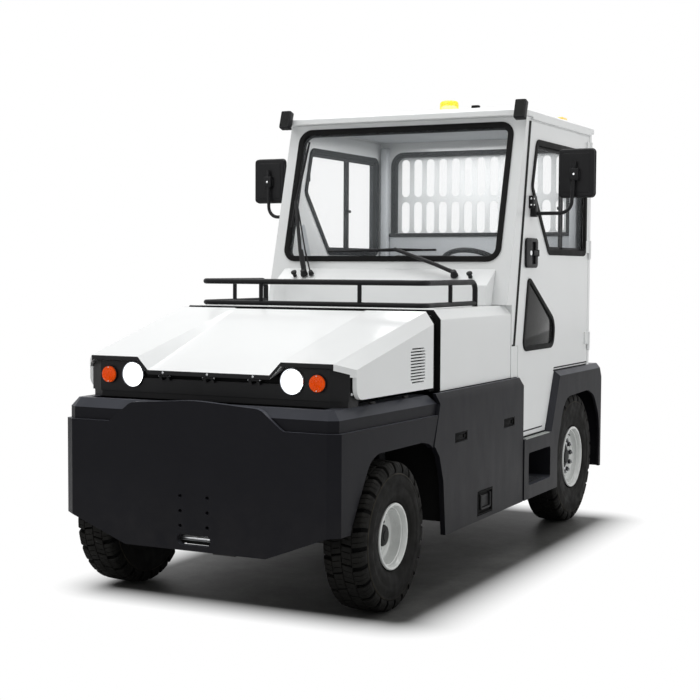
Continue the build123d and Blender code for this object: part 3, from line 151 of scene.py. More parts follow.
class Look(Nodes):
    """The node tree of a new material."""

    def __init__(self, name):
        self.material = bpy.data.materials.new(name)
        self.material.use_nodes = True
        super().__init__(self.material.node_tree)
        self.shader = self.tree.nodes["Principled BSDF"]
        self.object = self.node("ShaderNodeTexCoord").outputs["Object"]

    def noise(self, scale, detail=3.0, rough=0.5, stretch=None, seed=0.0):
        vector = self.object
        if stretch or seed:
            shift = (seed, seed * 0.7, seed * 1.3)
            links = {"Vector": vector, "Scale": stretch or (1, 1, 1), "Location": shift}
            vector = self.node("ShaderNodeMapping", links).outputs[0]
        links = {"Vector": vector, "Scale": scale, "Detail": detail, "Roughness": rough}
        return self.node("ShaderNodeTexNoise", links).outputs["Fac"]

    def ramp(self, value, low, high, to_low=0.0, to_high=1.0):
        links = {"Value": value, "From Min": low, "From Max": high, "To Min": to_low, "To Max": to_high}
        return self.node("ShaderNodeMapRange", links).outputs[0]

    def mix(self, factor, first, second):
        return self.node("ShaderNodeMix", {0: factor, 6: first, 7: second}, data_type="RGBA").outputs[2]

    def split(self, vector=None):
        return self.node("ShaderNodeSeparateXYZ", {"Vector": vector or self.object}).outputs

    def bump(self, height, strength, distance):
        links = {"Height": height, "Strength": strength, "Distance": distance}
        self.set(Normal=self.node("ShaderNodeBump", links).outputs[0])

    def set(self, **values):
        for key, value in values.items():
            self.put(self.shader.inputs[key.replace("_", " ")], value)


def rgb(red, green, blue):
    return (red, green, blue, 1.0)


def scaled(colour, share):
    return tuple(min(c * share, 1.0) for c in colour[:3]) + (1.0,)


def surface(name, colour, rough, metal=0.0, spec=0.5, spread=0.06, spread_scale=3.0, grain=0.0,
            grain_scale=900.0, rough_spread=0.08, coat=0.0, dust=None, painted_top_sheen=None):
    """Paint, plastic or metal: uneven colour and gloss, fine grain, low dust, and a painted highlight on what
    faces up.
    """
    n = Look(name)
    cloud = n.noise(spread_scale, 5.0, 0.6)
    tone = n.mix(n.ramp(cloud, 0.3, 0.7), scaled(colour, 1 - spread), scaled(colour, 1 + spread))
    if dust:
        amount, low, high = dust
        height = n.ramp(n.split()["Z"], low, high, amount, 0.0)
        patch = n.ramp(n.noise(9.0, 6.0, 0.65, seed=5.0), 0.35, 0.8)
        tone = n.mix(n.times(height, patch), tone, rgb(0.23, 0.21, 0.18))
    # Painted highlight: faces that point up are mixed towards a paler bluish tone, as if lit from above
    if painted_top_sheen:
        upward = n.split(n.node("ShaderNodeNewGeometry").outputs["Normal"])["Z"]
        share = n.times(n.ramp(upward, 0.2, 0.75), n.ramp(cloud, 0.25, 0.75, 0.6, 1.0))
        tone = n.mix(share, tone, painted_top_sheen)
    smear = n.noise(14.0, 5.0, 0.6, stretch=(1, 1, 0.35), seed=1.0)
    gloss = n.ramp(smear, 0.25, 0.75, max(rough - rough_spread, 0.03), rough + rough_spread)
    n.set(Base_Color=tone, Metallic=metal, Specular_IOR_Level=spec, Roughness=gloss)
    if coat:
        n.set(Coat_Weight=coat, Coat_Roughness=0.08)
    if grain:
        n.bump(n.noise(grain_scale, 2.0), grain, 0.0004)
    return n.material


LOOKS = {
    "white_paint": surface("white_paint_look", rgb(0.80, 0.81, 0.81), 0.3, spec=0.4, spread=0.012, coat=0.2,
                           rough_spread=0.012),
    # The dark shell's last colour is a painted highlight on its upward faces
    "dark_shell_paint": surface("dark_shell_look", rgb(0.0098, 0.0098, 0.0125), 0.36, spec=0.08, spread=0.08,
                                grain=0.2, grain_scale=650, rough_spread=0.05, dust=(0.05, 0.15, 0.6),
                                painted_top_sheen=rgb(0.085, 0.089, 0.105)),
    "black_frame_paint": surface("black_frame_look", rgb(0.009, 0.009, 0.01), 0.4, spec=0.15, spread=0.15,
                                 grain=0.25, dust=(0.2, 0.2, 0.7)),
    "black_plastic": surface("black_plastic_look", rgb(0.010, 0.010, 0.011), 0.46, spec=0.18, spread=0.12,
                             grain=0.5, grain_scale=1500),
    "black_rubber": surface("black_rubber_look", rgb(0.007, 0.007, 0.007), 0.6, spec=0.1, spread=0.2,
                            grain=0.35, grain_scale=800),
    "tyre_rubber": surface("plain_tyre_look", rgb(0.003, 0.003, 0.003), 0.8, spec=0.05, spread=0.25,
                           spread_scale=16, grain=0.5, grain_scale=420),
    "axle_iron": surface("axle_iron_look", rgb(0.014, 0.015, 0.017), 0.55, spec=0.15, spread=0.25,
                         spread_scale=12, grain=0.8, grain_scale=260, dust=(0.4, 0.15, 0.6)),
    "power_unit_iron": surface("power_unit_look", rgb(0.02, 0.02, 0.022), 0.6, spec=0.15, spread=0.2,
                               grain=0.7, grain_scale=240, dust=(0.3, 0.3, 1.0)),
    "bright_pin": surface("zinc_look", rgb(0.52, 0.53, 0.54), 0.3, metal=1.0, spread=0.15, spread_scale=40,
                          grain=0.3, grain_scale=600),
    "floor_paint": surface("cab_floor_look", rgb(0.045, 0.046, 0.05), 0.6, spread=0.2, grain=0.9,
                           grain_scale=320),
    "rim_paint": surface("rim_look", rgb(0.70, 0.715, 0.70), 0.26, spread=0.05, spread_scale=18, coat=0.4,
                         grain=0.12, rough_spread=0.06, dust=(0.12, 0.1, 0.6)),
}
BEZEL = surface("bezel_look", rgb(0.32, 0.33, 0.36), 0.16, metal=1.0, spread=0.05, rough_spread=0.04)
CAP = surface("hub_cap_look", rgb(0.006, 0.006, 0.0065), 0.42, spec=0.12, spread=0.2, grain=0.4)
CHROME = surface("chrome_look", rgb(0.82, 0.83, 0.84), 0.1, metal=1.0, spread=0.03, rough_spread=0.04)
NUT = surface("nut_look", rgb(0.05, 0.05, 0.055), 0.3, metal=0.7, spread=0.2, spread_scale=60, grain=0.4)
INTERIOR = surface("interior_grey_look", rgb(0.50, 0.52, 0.54), 0.55, spec=0.35, spread=0.05, grain=0.5,
                   grain_scale=500)
MIRROR = surface("mirror_face_look", rgb(0.8, 0.82, 0.84), 0.04, metal=1.0, spread=0.02, rough_spread=0.01)
# Near-black matte look: painted shade on sheets put in openings where there is only shade (hood front gap,
# tow slot, louvres, wheel arches), and also the black of the latches and pull frames
SHADE_AND_MATTE_BLACK = surface("painted_shade_black_look", rgb(0.006, 0.006, 0.006), 0.8, spec=0.1, spread=0.3, grain=0.5)
EDGE_STRIP = surface("step_strip_look", rgb(0.34, 0.36, 0.34), 0.5, spread=0.12, spread_scale=25, grain=0.6)


def seat_look():
    """Woven black cover: two crossed waves for the threads over a soft mottle."""
    threads = 3200.0
    n = Look("seat_cover_look")
    x, y, z = (n.split()[axis] for axis in "XYZ")
    weave = n.times(n.math("SINE", n.times(x, threads)), n.math("SINE", n.times(n.plus(y, z), threads)))
    tone = n.mix(n.ramp(weave, -1, 1), rgb(0.018, 0.018, 0.02), rgb(0.05, 0.05, 0.055))
    tone = n.mix(n.ramp(n.noise(30.0, 4.0), 0.35, 0.7, 0.0, 0.4), tone, rgb(0.035, 0.035, 0.04))
    n.set(Base_Color=tone, Roughness=0.85, Sheen_Weight=0.3)
    n.bump(n.plus(n.times(weave, 0.5), n.noise(60.0)), 0.35, 0.0008)
    return n.material


def glass_look(name, colour, alpha, rough=0.02, shine=1.0):
    """Thin pane: a tinted see-through coat that keeps its shine."""
    n = Look(name)
    smear = n.noise(5.0, 4.0, 0.6)
    tone = n.mix(n.ramp(smear, 0.3, 0.7), scaled(colour, 0.95), scaled(colour, 1.05))
    n.set(Base_Color=tone, Alpha=n.ramp(smear, 0.3, 0.7, alpha * 0.92, alpha * 1.08), Roughness=rough)
    n.set(Specular_IOR_Level=shine, Coat_Weight=shine, Coat_Roughness=0.02)
    n.material.surface_render_method = "BLENDED"
    return n.material


def glow_look(name, colour, strength, cell, coat=0.5):
    """Lit lens with a moulded pattern of small cells."""
    n = Look(name)
    cells = n.node("ShaderNodeTexVoronoi", {"Vector": n.object, "Scale": cell}).outputs["Distance"]
    tone = n.mix(n.ramp(cells, 0.0, 0.8, 1.15, 0.7), scaled(colour, 0.75), scaled(colour, 1.0))
    n.set(Base_Color=tone, Roughness=0.15, Emission_Color=tone, Emission_Strength=strength)
    n.set(Coat_Weight=coat, Specular_IOR_Level=coat)
    n.bump(cells, 0.5, 0.002)
    return n.material


def tyre_look(name, radius):
    """Worn rubber with paler dust on the tread, a scuffed ring at its edge and a darker sidewall."""
    n = Look(name)
    parts = n.split()
    reach = n.reach(parts["Y"], parts["Z"])
    mottle = n.ramp(n.noise(16.0, 6.0, 0.65), 0.3, 0.7)
    rubber = n.mix(mottle, rgb(0.0035, 0.0034, 0.0032), rgb(0.0075, 0.0072, 0.0066))
    crown = n.ramp(reach, radius - 0.04, radius - 0.004)
    tread = n.times(crown, n.ramp(n.noise(45.0, 5.0, 0.7, seed=2.0), 0.3, 0.8))
    tone = n.mix(n.times(tread, 0.4), rubber, rgb(0.016, 0.0155, 0.0135))
    ring = n.minus(1.0, n.times(n.math("ABSOLUTE", n.minus(reach, radius - 0.052)), 330.0))
    ring = n.times(n.math("MAXIMUM", ring, 0.0), n.ramp(n.noise(10.0, 5.0, 0.7, seed=4.0), 0.3, 0.7))
    tone = n.mix(n.times(ring, 0.8), tone, rgb(0.07, 0.06, 0.042))
    wall = n.ramp(n.noise(7.0, 5.0, 0.7, stretch=(0.3, 1, 1), seed=6.0), 0.45, 0.75)
    tone = n.mix(n.times(wall, 0.25), tone, rgb(0.018, 0.0165, 0.0135))
    gloss = n.ramp(n.noise(20.0, 4.0, seed=8.0), 0.3, 0.7, 0.6, 0.85)
    n.set(Base_Color=tone, Roughness=gloss, Specular_IOR_Level=0.12)
    n.bump(n.noise(420.0, 3.0), 0.45, 0.0008)
    return n.material


# Middle and half size of the floor's grey patch, a painted shadow under and beside the vehicle, in metres,
# across and along
SHADOW_PATCH_ACROSS, SHADOW_PATCH_ALONG = (0.095, 0.665), (-0.09, 1.29)


def floor_look():
    """Grey mottled concrete, darkened as a painted shadow under and beside the vehicle, that goes over into
    plain white round it.
    """
    n = Look("pale_floor_look")
    cloud = n.ramp(n.noise(2.2, 7.0, 0.7), 0.3, 0.72)
    speck = n.ramp(n.noise(40.0, 5.0, 0.75, seed=9.0), 0.35, 0.75)
    # Painted shadow: the very dark greys of the patch stand for the vehicle's shadow on the concrete
    grey = n.mix(cloud, rgb(0.014, 0.014, 0.0135), rgb(0.12, 0.12, 0.115))
    grey = n.mix(n.times(speck, 0.6), grey, rgb(0.028, 0.028, 0.027))
    parts = n.split()
    beyond = [n.math("MAXIMUM", n.minus(n.math("ABSOLUTE", n.minus(value, middle)), half), 0.0)
              for value, (middle, half) in ((parts["X"], SHADOW_PATCH_ACROSS), (parts["Y"], SHADOW_PATCH_ALONG))]
    reach = n.reach(*beyond)
    tone = n.mix(n.ramp(reach, 0.03, 0.32), grey, rgb(0.93, 0.93, 0.93))
    n.set(Base_Color=tone, Roughness=0.5, Specular_IOR_Level=0.3)
    n.bump(n.noise(90.0, 6.0, 0.7), 0.2, 0.002)
    seen = n.node("ShaderNodeLightPath").outputs["Is Camera Ray"]
    share = n.times(n.ramp(reach, 0.05, 0.32), seen)
    glow = n.node("ShaderNodeEmission", {"Color": rgb(1, 1, 1), "Strength": 1.0})
    mix = n.node("ShaderNodeMixShader", {0: share, 1: n.shader.outputs[0], 2: glow.outputs[0]})
    n.put(n.tree.nodes["Material Output"].inputs["Surface"], mix.outputs[0])
    return n.material


LOOKS["seat_cover"] = seat_look()
LOOKS["clear_glass"] = glass_look("clear_glass_look", rgb(0.6, 0.65, 0.68), 0.05, shine=0.4)
LOOKS["lamp_lens"] = glow_look("lamp_glow_look", rgb(1.0, 1.0, 0.97), 5.0, 160.0)
LOOKS["amber_lens"] = glow_look("amber_look", rgb(0.75, 0.075, 0.002), 0.3, 75.0, 0.12)
LOOKS["red_lens"] = glow_look("red_look", rgb(0.55, 0.012, 0.01), 0.05, 110.0)
DARK_GLASS = glass_look("tinted_glass_look", rgb(0.022, 0.0225, 0.022), 0.94, 0.1, 0.08)
BEACON_SHELL = glass_look("beacon_shell_look", rgb(1.0, 0.72, 0.0), 0.8, 0.08, 0.3)
BEACON_CORE = glow_look("beacon_core_look", rgb(1.0, 0.95, 0.6), 3.0, 120.0)
MARKER = glow_look("marker_look", rgb(1.0, 0.3, 0.02), 1.2, 140.0)
CLEAR_LENS = glass_look("clear_lens_look", rgb(0.9, 0.9, 0.9), 0.12, 0.03)


# Mesh building
def add_piece(mesh, name, slot, look=None, body="chassis", replaces=(), smooth=30.0, at=(0, 0, 0)):
    """Makes a mesh, or a list of them, a piece that rides on a body, with the finish of a slot."""
    if isinstance(mesh, list):
        mesh = join(mesh)
    mesh.name = name
    obj = linked(name, mesh)
    obj.location = at
    mesh.materials.clear()
    mesh.materials.append(look or LOOKS[slot])
    mesh.polygons.foreach_set("use_smooth", [True] * len(mesh.polygons))
    mesh.set_sharp_from_angle(angle=radians(smooth))
    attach(obj, body)
    if replaces:
        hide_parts(*replaces)
    return obj


def once(node, side):
    """A node that both sides' pieces stand for is replaced by the left one."""
    return [node] if side > 0 else []


def to_mesh(bm, where=None):
    if where:
        bm.transform(where)
        if where.determinant() < 0:
            bmesh.ops.reverse_faces(bm, faces=bm.faces[:])
    mesh = bpy.data.meshes.new("piece")
    bm.to_mesh(mesh)
    bm.free()
    return mesh


def join(parts):
    """One mesh from several."""
    bm = bmesh.new()
    for part in parts:
        bm.from_mesh(part)
        bpy.data.meshes.remove(part)
    return to_mesh(bm)


def lathe(profile, where, segments=64, closed=False):
    """Turns (along, radius) points in millimetres about the matrix's z axis."""
    bm = bmesh.new()
    rings = []
    for along, reach in profile:
        if reach < 1e-6:
            rings.append([bm.verts.new((0, 0, along * MM))])
            continue
        turns = [2 * pi * i / segments for i in range(segments)]
        rings.append([bm.verts.new((reach * MM * cos(a), reach * MM * sin(a), along * MM)) for a in turns])
    pairs = list(zip(rings, rings[1:] + ([rings[0]] if closed else [])))
    for low, high in pairs[:len(rings) - (0 if closed else 1)]:
        for i in range(segments):
            j = (i + 1) % segments
            corners = [low[i % len(low)], low[j % len(low)], high[j % len(high)], high[i % len(high)]]
            corners = list(dict.fromkeys(corners))
            if len(corners) > 2:
                bm.faces.new(corners)
    bmesh.ops.recalc_face_normals(bm, faces=bm.faces[:])
    return to_mesh(bm, where)


def evaluated(obj):
    """A new mesh of an object with its modifiers done."""
    return bpy.data.meshes.new_from_object(obj.evaluated_get(bpy.context.evaluated_depsgraph_get()))


def curve_mesh(lines, where, closed, **settings):
    """Mesh of a curve along lines of points in metres."""
    curve = bpy.data.curves.new("outline", "CURVE")
    for key, value in settings.items():
        setattr(curve, key, value)
    for line in lines:
        spline = curve.splines.new("POLY")
        spline.points.add(len(line) - 1)
        for point, co in zip(spline.points, line):
            point.co = (*co, 1)
        spline.use_cyclic_u = closed
    obj = linked("outline", curve)
    mesh = evaluated(obj)
    bpy.data.objects.remove(obj)
    bpy.data.curves.remove(curve)
    bm = bmesh.new()
    bm.from_mesh(mesh)
    bpy.data.meshes.remove(mesh)
    bmesh.ops.remove_doubles(bm, verts=bm.verts[:], dist=WELD)
    bmesh.ops.recalc_face_normals(bm, faces=bm.faces[:])
    return to_mesh(bm, where)


def plate(loops, low, high, bevel, where, steps=2):
    """A plate with holes from outlines in millimetres, from depth low to high along the plane's normal."""
    lines = [[(x * MM, y * MM, 0) for x, y in loop] for loop in loops]
    middle = where @ Matrix.Translation((0, 0, (low + high) / 2 * MM))
    straight = max((high - low) / 2 - bevel, 0.0)
    return curve_mesh(lines, middle, True, dimensions="2D", fill_mode="BOTH", extrude=straight * MM,
                      bevel_depth=bevel * MM, bevel_resolution=steps, offset=-bevel * MM)


def arc_points(corner, before, after, radius, steps):
    """Points of the arc that rounds a corner between two neighbours."""
    corner, before, after = Vector(corner), Vector(before), Vector(after)
    way_in, way_out = (before - corner), (after - corner)
    if radius <= 0:
        return [corner]
    a, b = way_in.normalized(), way_out.normalized()
    half = a.angle(b) / 2
    if half > pi / 2 - 0.02:
        return [corner]
    run = min(radius / tan(half), way_in.length * 0.49, way_out.length * 0.49)
    reach = run * tan(half)
    centre = corner + (a + b).normalized() * (reach / sin(half))
    start, end = corner + a * run - centre, corner + b * run - centre
    points = []
    for i in range(steps + 1):
        t = i / steps
        point = (start * (1 - t) + end * t)
        points.append(centre + point.normalized() * reach)
    return points


def rounded(points, radius, steps=8):
    """Closed outline with every corner rounded, by one radius or a list of them."""
    radii = radius if isinstance(radius, list) else [radius] * len(points)
    result = []
    for i, point in enumerate(points):
        result += arc_points(point, points[i - 1], points[(i + 1) % len(points)], radii[i], steps)
    return [(p.x, p.y) for p in result]


def grown(points, amount):
    """Corner points moved out from the outline's middle by an offset of its edges."""
    area = sum(points[i - 1][0] * points[i][1] - points[i][0] * points[i - 1][1] for i in range(len(points)))
    turn = 1 if area > 0 else -1
    result = []
    for i in range(len(points)):
        a, b, c = Vector(points[i - 1]), Vector(points[i]), Vector(points[(i + 1) % len(points)])
        first, second = (b - a).normalized(), (c - b).normalized()
        n1, n2 = Vector((first.y, -first.x)) * turn, Vector((second.y, -second.x)) * turn
        bisector = (n1 + n2)
        result.append(tuple(b + bisector * (amount / max(1 + n1.dot(n2), 0.2))))
    return result


def ring_plate(outline, radius, out, into, low, high, bevel, where):
    """A frame that follows an outline: out beyond it and into it, in millimetres."""
    radii = radius if isinstance(radius, list) else [radius] * len(outline)
    return plate([rounded(grown(outline, out), [r + out for r in radii]),
                  rounded(grown(outline, -into), [max(r - into, 4) for r in radii])], low, high, bevel, where)


def box(left, right, low, high):
    """Corners of an upright rectangle."""
    return [(left, low), (right, low), (right, high), (left, high)]


def slab(outline, radius, low, high, bevel, where, steps=2):
    """A plate without holes, with rounded corners."""
    return plate([rounded(outline, radius)], low, high, bevel, where, steps)


def gasket(outline, radius, into, rows):
    """Rubber round a window, from rows of reach beyond its edge, low and high depth, bevel and plane."""
    return [ring_plate(outline, radius, out, into, *row) for out, *row in rows]


def path_points(points, radius, steps=8):
    points = [Vector(p) for p in points]
    result = [points[0]]
    for i in range(1, len(points) - 1):
        result += arc_points(points[i], points[i - 1], points[i + 1], radius * MM, steps)
    return result + [points[-1]]


def tube(points, radius, corner=20.0):
    """Round bar along points in metres, its corners rounded."""
    return curve_mesh([path_points(points, corner)], None, False, dimensions="3D", bevel_depth=radius * MM,
                      bevel_resolution=3, use_fill_caps=True)


def block(size, bevel, where, segments=2):
    """Box with rounded edges, size in millimetres, about the matrix's origin."""
    bm = bmesh.new()
    bmesh.ops.create_cube(bm, size=1.0)
    bmesh.ops.scale(bm, vec=[s * MM for s in size], verts=bm.verts[:])
    bmesh.ops.bevel(bm, geom=bm.edges[:], offset=bevel * MM, segments=segments, affect="EDGES", profile=0.5)
    return to_mesh(bm, where)


def at_point(x, station, z, turn=None):
    matrix = Matrix.Translation(place(x, station, z))
    return matrix @ turn if turn else matrix


def turned(degrees, axis="X"):
    return Matrix.Rotation(radians(degrees), 4, axis)


def point_on(where, x, y, z=0.0):
    """A drawing's point in millimetres as a place in metres."""
    return where @ Vector((x * MM, y * MM, z * MM))


def moved(where, x, y, z=0.0):
    """The same drawing plane, moved along its own axes."""
    return where @ Matrix.Translation((x * MM, y * MM, z * MM))


def towards(origin, direction):
    """Matrix at origin in metres with z along direction."""
    direction = Vector(direction).normalized()
    across = Vector((0, 0, 1)) if abs(direction.z) < 0.9 else Vector((1, 0, 0))
    return basis(origin, across.cross(direction), direction)


def hex_bolt(across, height, where, washer=True):
    """Hexagon head with a chamfered top, on a washer."""
    reach = across / 2 / cos(pi / 6)
    head = [(0.8, 0), (0.8, reach), (height * 0.8, reach), (height, reach * 0.86), (height, 0)]
    parts = [lathe(head, where, 6)]
    if washer:
        edge = across * 0.72
        parts.append(lathe([(0, 0), (0, edge), (1.0, edge + 0.2), (1.6, edge - 0.4), (1.6, 0)], where, 28))
    return join(parts)


def dome_screw(radius, where, socket=True):
    """Round head with a hexagon socket."""
    profile = [(0, 1), (0.35, 0.96), (0.62, 0.7), (0.68, 0.45)]
    profile += [(0.3, 0.42), (0.3, 0)] if socket else [(0.7, 0)]
    return lathe([(radius * along, radius * reach) for along, reach in profile], where, 18)


def modify(obj, name, kind, **settings):
    modifier = obj.modifiers.new(name, kind)
    for key, value in settings.items():
        setattr(modifier, key, value)


# Looks of the carried-over nodes
def dress_nodes():
    """Gives each CAD node its slot's look, and softens the sheet-metal edges."""
    slots = {entry["node"]: entry["material_slot"] for entry in frame["record"]["subparts"]}
    edges = {
        "front_bumper": 5.0, "hood": 3.0, "headlamp_panel": 1.5, "cowl": 4.0, "hood_seal": 3.0,
        "scuttle": 5.0, "side_panel_left": 2.0, "side_panel_right": 2.0, "rear_fender_left": 3.5,
        "rear_fender_right": 3.5, "rear_body": 2.5, "cab_front": 4.0, "roof": 4.0, "rear_wall": 3.0,
        "rear_guard": 1.5, "door_left": 3.0, "door_right": 3.0, "door_sills": 1.5, "dashboard": 8.0,
        "chassis_frame": 3.0, "tow_hitch": 2.0, "seat_bases": 5.0, "cab_floor": 2.0, "power_unit": 8.0,
        "front_axle": 3.0, "steering_column": 2.0,
    }
    for name, obj in NODES.items():
        look = LOOKS[slots[name]]
        obj.data.materials.clear()
        obj.data.materials.append(look)
        if name in edges:
            modify(obj, "weld", "WELD", merge_threshold=WELD)
            modify(obj, "flat", "DECIMATE", decimate_type="DISSOLVE", angle_limit=radians(0.6))
            modify(obj, "soft", "BEVEL", width=edges[name] * MM, segments=2, limit_method="ANGLE",
                   angle_limit=radians(24), face_strength_mode="FSTR_ALL")
            modify(obj, "even", "WEIGHTED_NORMAL", mode="FACE_AREA", weight=100, use_face_influence=True)
            obj.data.polygons.foreach_set("use_smooth", [True] * len(obj.data.polygons))


def paint_faces(obj, look, test, count=None):
    """A second look on those of an object's first faces whose middle passes a test."""
    obj.data.materials.append(look)
    index = len(obj.data.materials) - 1
    for face in obj.data.polygons[:count]:
        if test(face.center, face.normal):
            face.material_index = index


# Sizes shared with the construction
SIDE_HALF, CAB_HALF, DOOR_WALL = 700.0, 678.0, 40.0
FRONT_AXLE, REAR_AXLE = 442.0, 2840.0
# Wheels: station, radius, tyre width, middle's x, rim radius, half rim width
WHEELS = {
    "front": (FRONT_AXLE, 311.0, 192.0, 604.0, 139.0, 85.0),
    "rear": (REAR_AXLE, 361.0, 184.0, 598.0, 170.0, 84.0),
}
SIDES = (("left", 1), ("right", -1))


# Tyres
TREAD_DEPTH, SIPE_DEPTH, CROWN_DROP, SHOULDER_DROP, BLOCK_EDGE = 14.0, 5.0, 4.0, 30.0, 1.6


def tread_height(x, half, radius):
    """Radius of the tread's surface at a distance from the tyre's middle."""
    edge = 0.80 * half
    if abs(x) <= edge:
        return radius - CROWN_DROP * (x / edge) ** 2
    share = (abs(x) - edge) / (0.97 * half - edge)
    return radius - CROWN_DROP - SHOULDER_DROP * share ** 1.6


def tread_block(bm, x_lines, turn_lines, half, radius, slant, sipes):
    """One block of the tread: a grid on the crown, lowered in its sipes, with walls down to the base."""
    grid = []
    for i, x in enumerate(x_lines):
        row = []
        for j, turn in enumerate(turn_lines):
            angle = turn + slant * (x - x_lines[0]) / (x_lines[-1] - x_lines[0])
            reach = tread_height(x, half, radius)
            if i in (0, len(x_lines) - 1) or j in (0, len(turn_lines) - 1):
                reach -= BLOCK_EDGE
            elif j in sipes and 1 < i < len(x_lines) - 2:
                reach -= SIPE_DEPTH
            row.append(bm.verts.new((x * MM, reach * MM * sin(angle), reach * MM * cos(angle))))
        grid.append(row)
    rows, columns = len(grid), len(grid[0])
    for i in range(rows - 1):
        for j in range(columns - 1):
            bm.faces.new((grid[i][j], grid[i][j + 1], grid[i + 1][j + 1], grid[i + 1][j]))
    border = [(i, 0) for i in range(rows)] + [(rows - 1, j) for j in range(1, columns)]
    border += [(i, columns - 1) for i in range(rows - 2, -1, -1)]
    border += [(0, j) for j in range(columns - 2, 0, -1)]
    base = []
    for i, j in border:
        top = grid[i][j].co
        reach = hypot(top.y, top.z)
        outer = abs(x_lines[i]) > 0.86 * half
        factor = (reach - (TREAD_DEPTH * 0.9 if outer else TREAD_DEPTH) * MM) / reach
        base.append(bm.verts.new((top.x * (0.985 if outer else 1.0), top.y * factor, top.z * factor)))
    for k, (i, j) in enumerate(border):
        after = (k + 1) % len(border)
        i2, j2 = border[after]
        bm.faces.new((grid[i2][j2], grid[i][j], base[k], base[after]))


def tyre(name, label, side):
    station, radius, width, centre_x, rim_radius, _ = WHEELS[name]
    half = width / 2
    pitches = 24 if name == "front" else 26
    segments = 144
    step = 2 * pi / pitches
    bm = bmesh.new()
    # Rows: start and end as shares of the half width, share of the pitch, stagger, slant
    rows = [(0.47, 0.97, 0.76, 0.0, 0.10), (0.015, 0.45, 0.9, 0.22, -0.10)]
    # Lines across a block as shares of its length; those at 0.31 and 0.69 are sipes
    turns = [0, 0.035, 0.28, 0.31, 0.34, 0.5, 0.66, 0.69, 0.72, 0.965, 1.0]
    sipes = (3, 7)
    for sign in (1, -1):
        for start, end, share, stagger, slant in rows:
            shift = stagger + (0.5 if sign < 0 else 0.0)
            count = 8 if start > 0.4 else 5
            inner = [start + (end - start) * k / count for k in range(count + 1)]
            lines = [inner[0], inner[0] + 0.012] + inner[1:-1] + [inner[-1] - 0.012, inner[-1]]
            xs = [sign * s * half for s in lines]
            span = step * share
            for p in range(pitches):
                angles = [(p + shift) * step + t * span for t in turns]
                tread_block(bm, xs, angles, half, radius, slant * step, sipes)
    bmesh.ops.recalc_face_normals(bm, faces=bm.faces[:])
    blocks = to_mesh(bm)
    low, middle = radius - TREAD_DEPTH, (radius + rim_radius) / 2
    # Half of the section without blocks: share of the half width, radius
    section = [(0.0, low), (0.4, low - 0.6), (0.78, low - 3), (0.86, low - 11), (0.915, low - 26),
               (0.948, low - 34), (0.975, low - 37), (0.985, low - 41), (0.972, low - 45), (0.975, low - 49),
               (0.992, middle + 14), (0.999, middle), (0.997, middle - 10), (0.984, middle - 13),
               (0.98, middle - 22), (0.955, rim_radius + 30), (0.93, rim_radius + 25),
               (0.90, rim_radius + 19), (0.885, rim_radius + 12), (0.86, rim_radius + 7),
               (0.80, rim_radius + 3), (0.775, rim_radius - 2), (0.70, rim_radius - 12)]
    profile = [(-share * half, reach) for share, reach in reversed(section[1:])]
    profile += [(share * half, reach) for share, reach in section]
    axis = basis(Vector((0, 0, 0)), (0, 1, 0), (1, 0, 0))
    carcass = lathe(profile, axis, segments, closed=True)
    obj = add_piece([carcass, blocks], f"{name}_tyre_{label}_detail", "tyre_rubber",
                    tyre_look(f"{name}_tyre_look_{side}", radius * MM), f"{name}_wheel_{label}",
                    [f"{name}_tyre_{label}"], 32, place(side * centre_x, station, radius - BODY_DATUM))
    paint_faces(obj, LOOKS["tyre_rubber"], lambda centre, normal: abs(centre.x) < 0.955 * half * MM
                and hypot(centre.y, centre.z) > (low - 36) * MM, segments * len(profile))


def polar(reach, angle, x=0.0, y=0.0):
    """Point at a reach and an angle round a middle."""
    return (x + reach * cos(angle), y + reach * sin(angle))


def circle(radius, count):
    return [polar(radius, 2 * pi * i / count) for i in range(count)]


def bean(reach, middle, span, half_width, count=8):
    """Curved slot in a wheel disc: an arc at a reach from the middle with round ends."""
    start, end = middle - span / 2, middle + span / 2
    turns = [middle + span * (i / count - 0.5) for i in range(count + 1)]
    points = [polar(reach + half_width, turn) for turn in turns]
    points += [polar(half_width, end + pi * i / 6, *polar(reach, end)) for i in range(1, 6)]
    points += [polar(reach - half_width, turn) for turn in reversed(turns)]
    points += [polar(half_width, start + pi + pi * i / 6, *polar(reach, start)) for i in range(1, 6)]
    return points


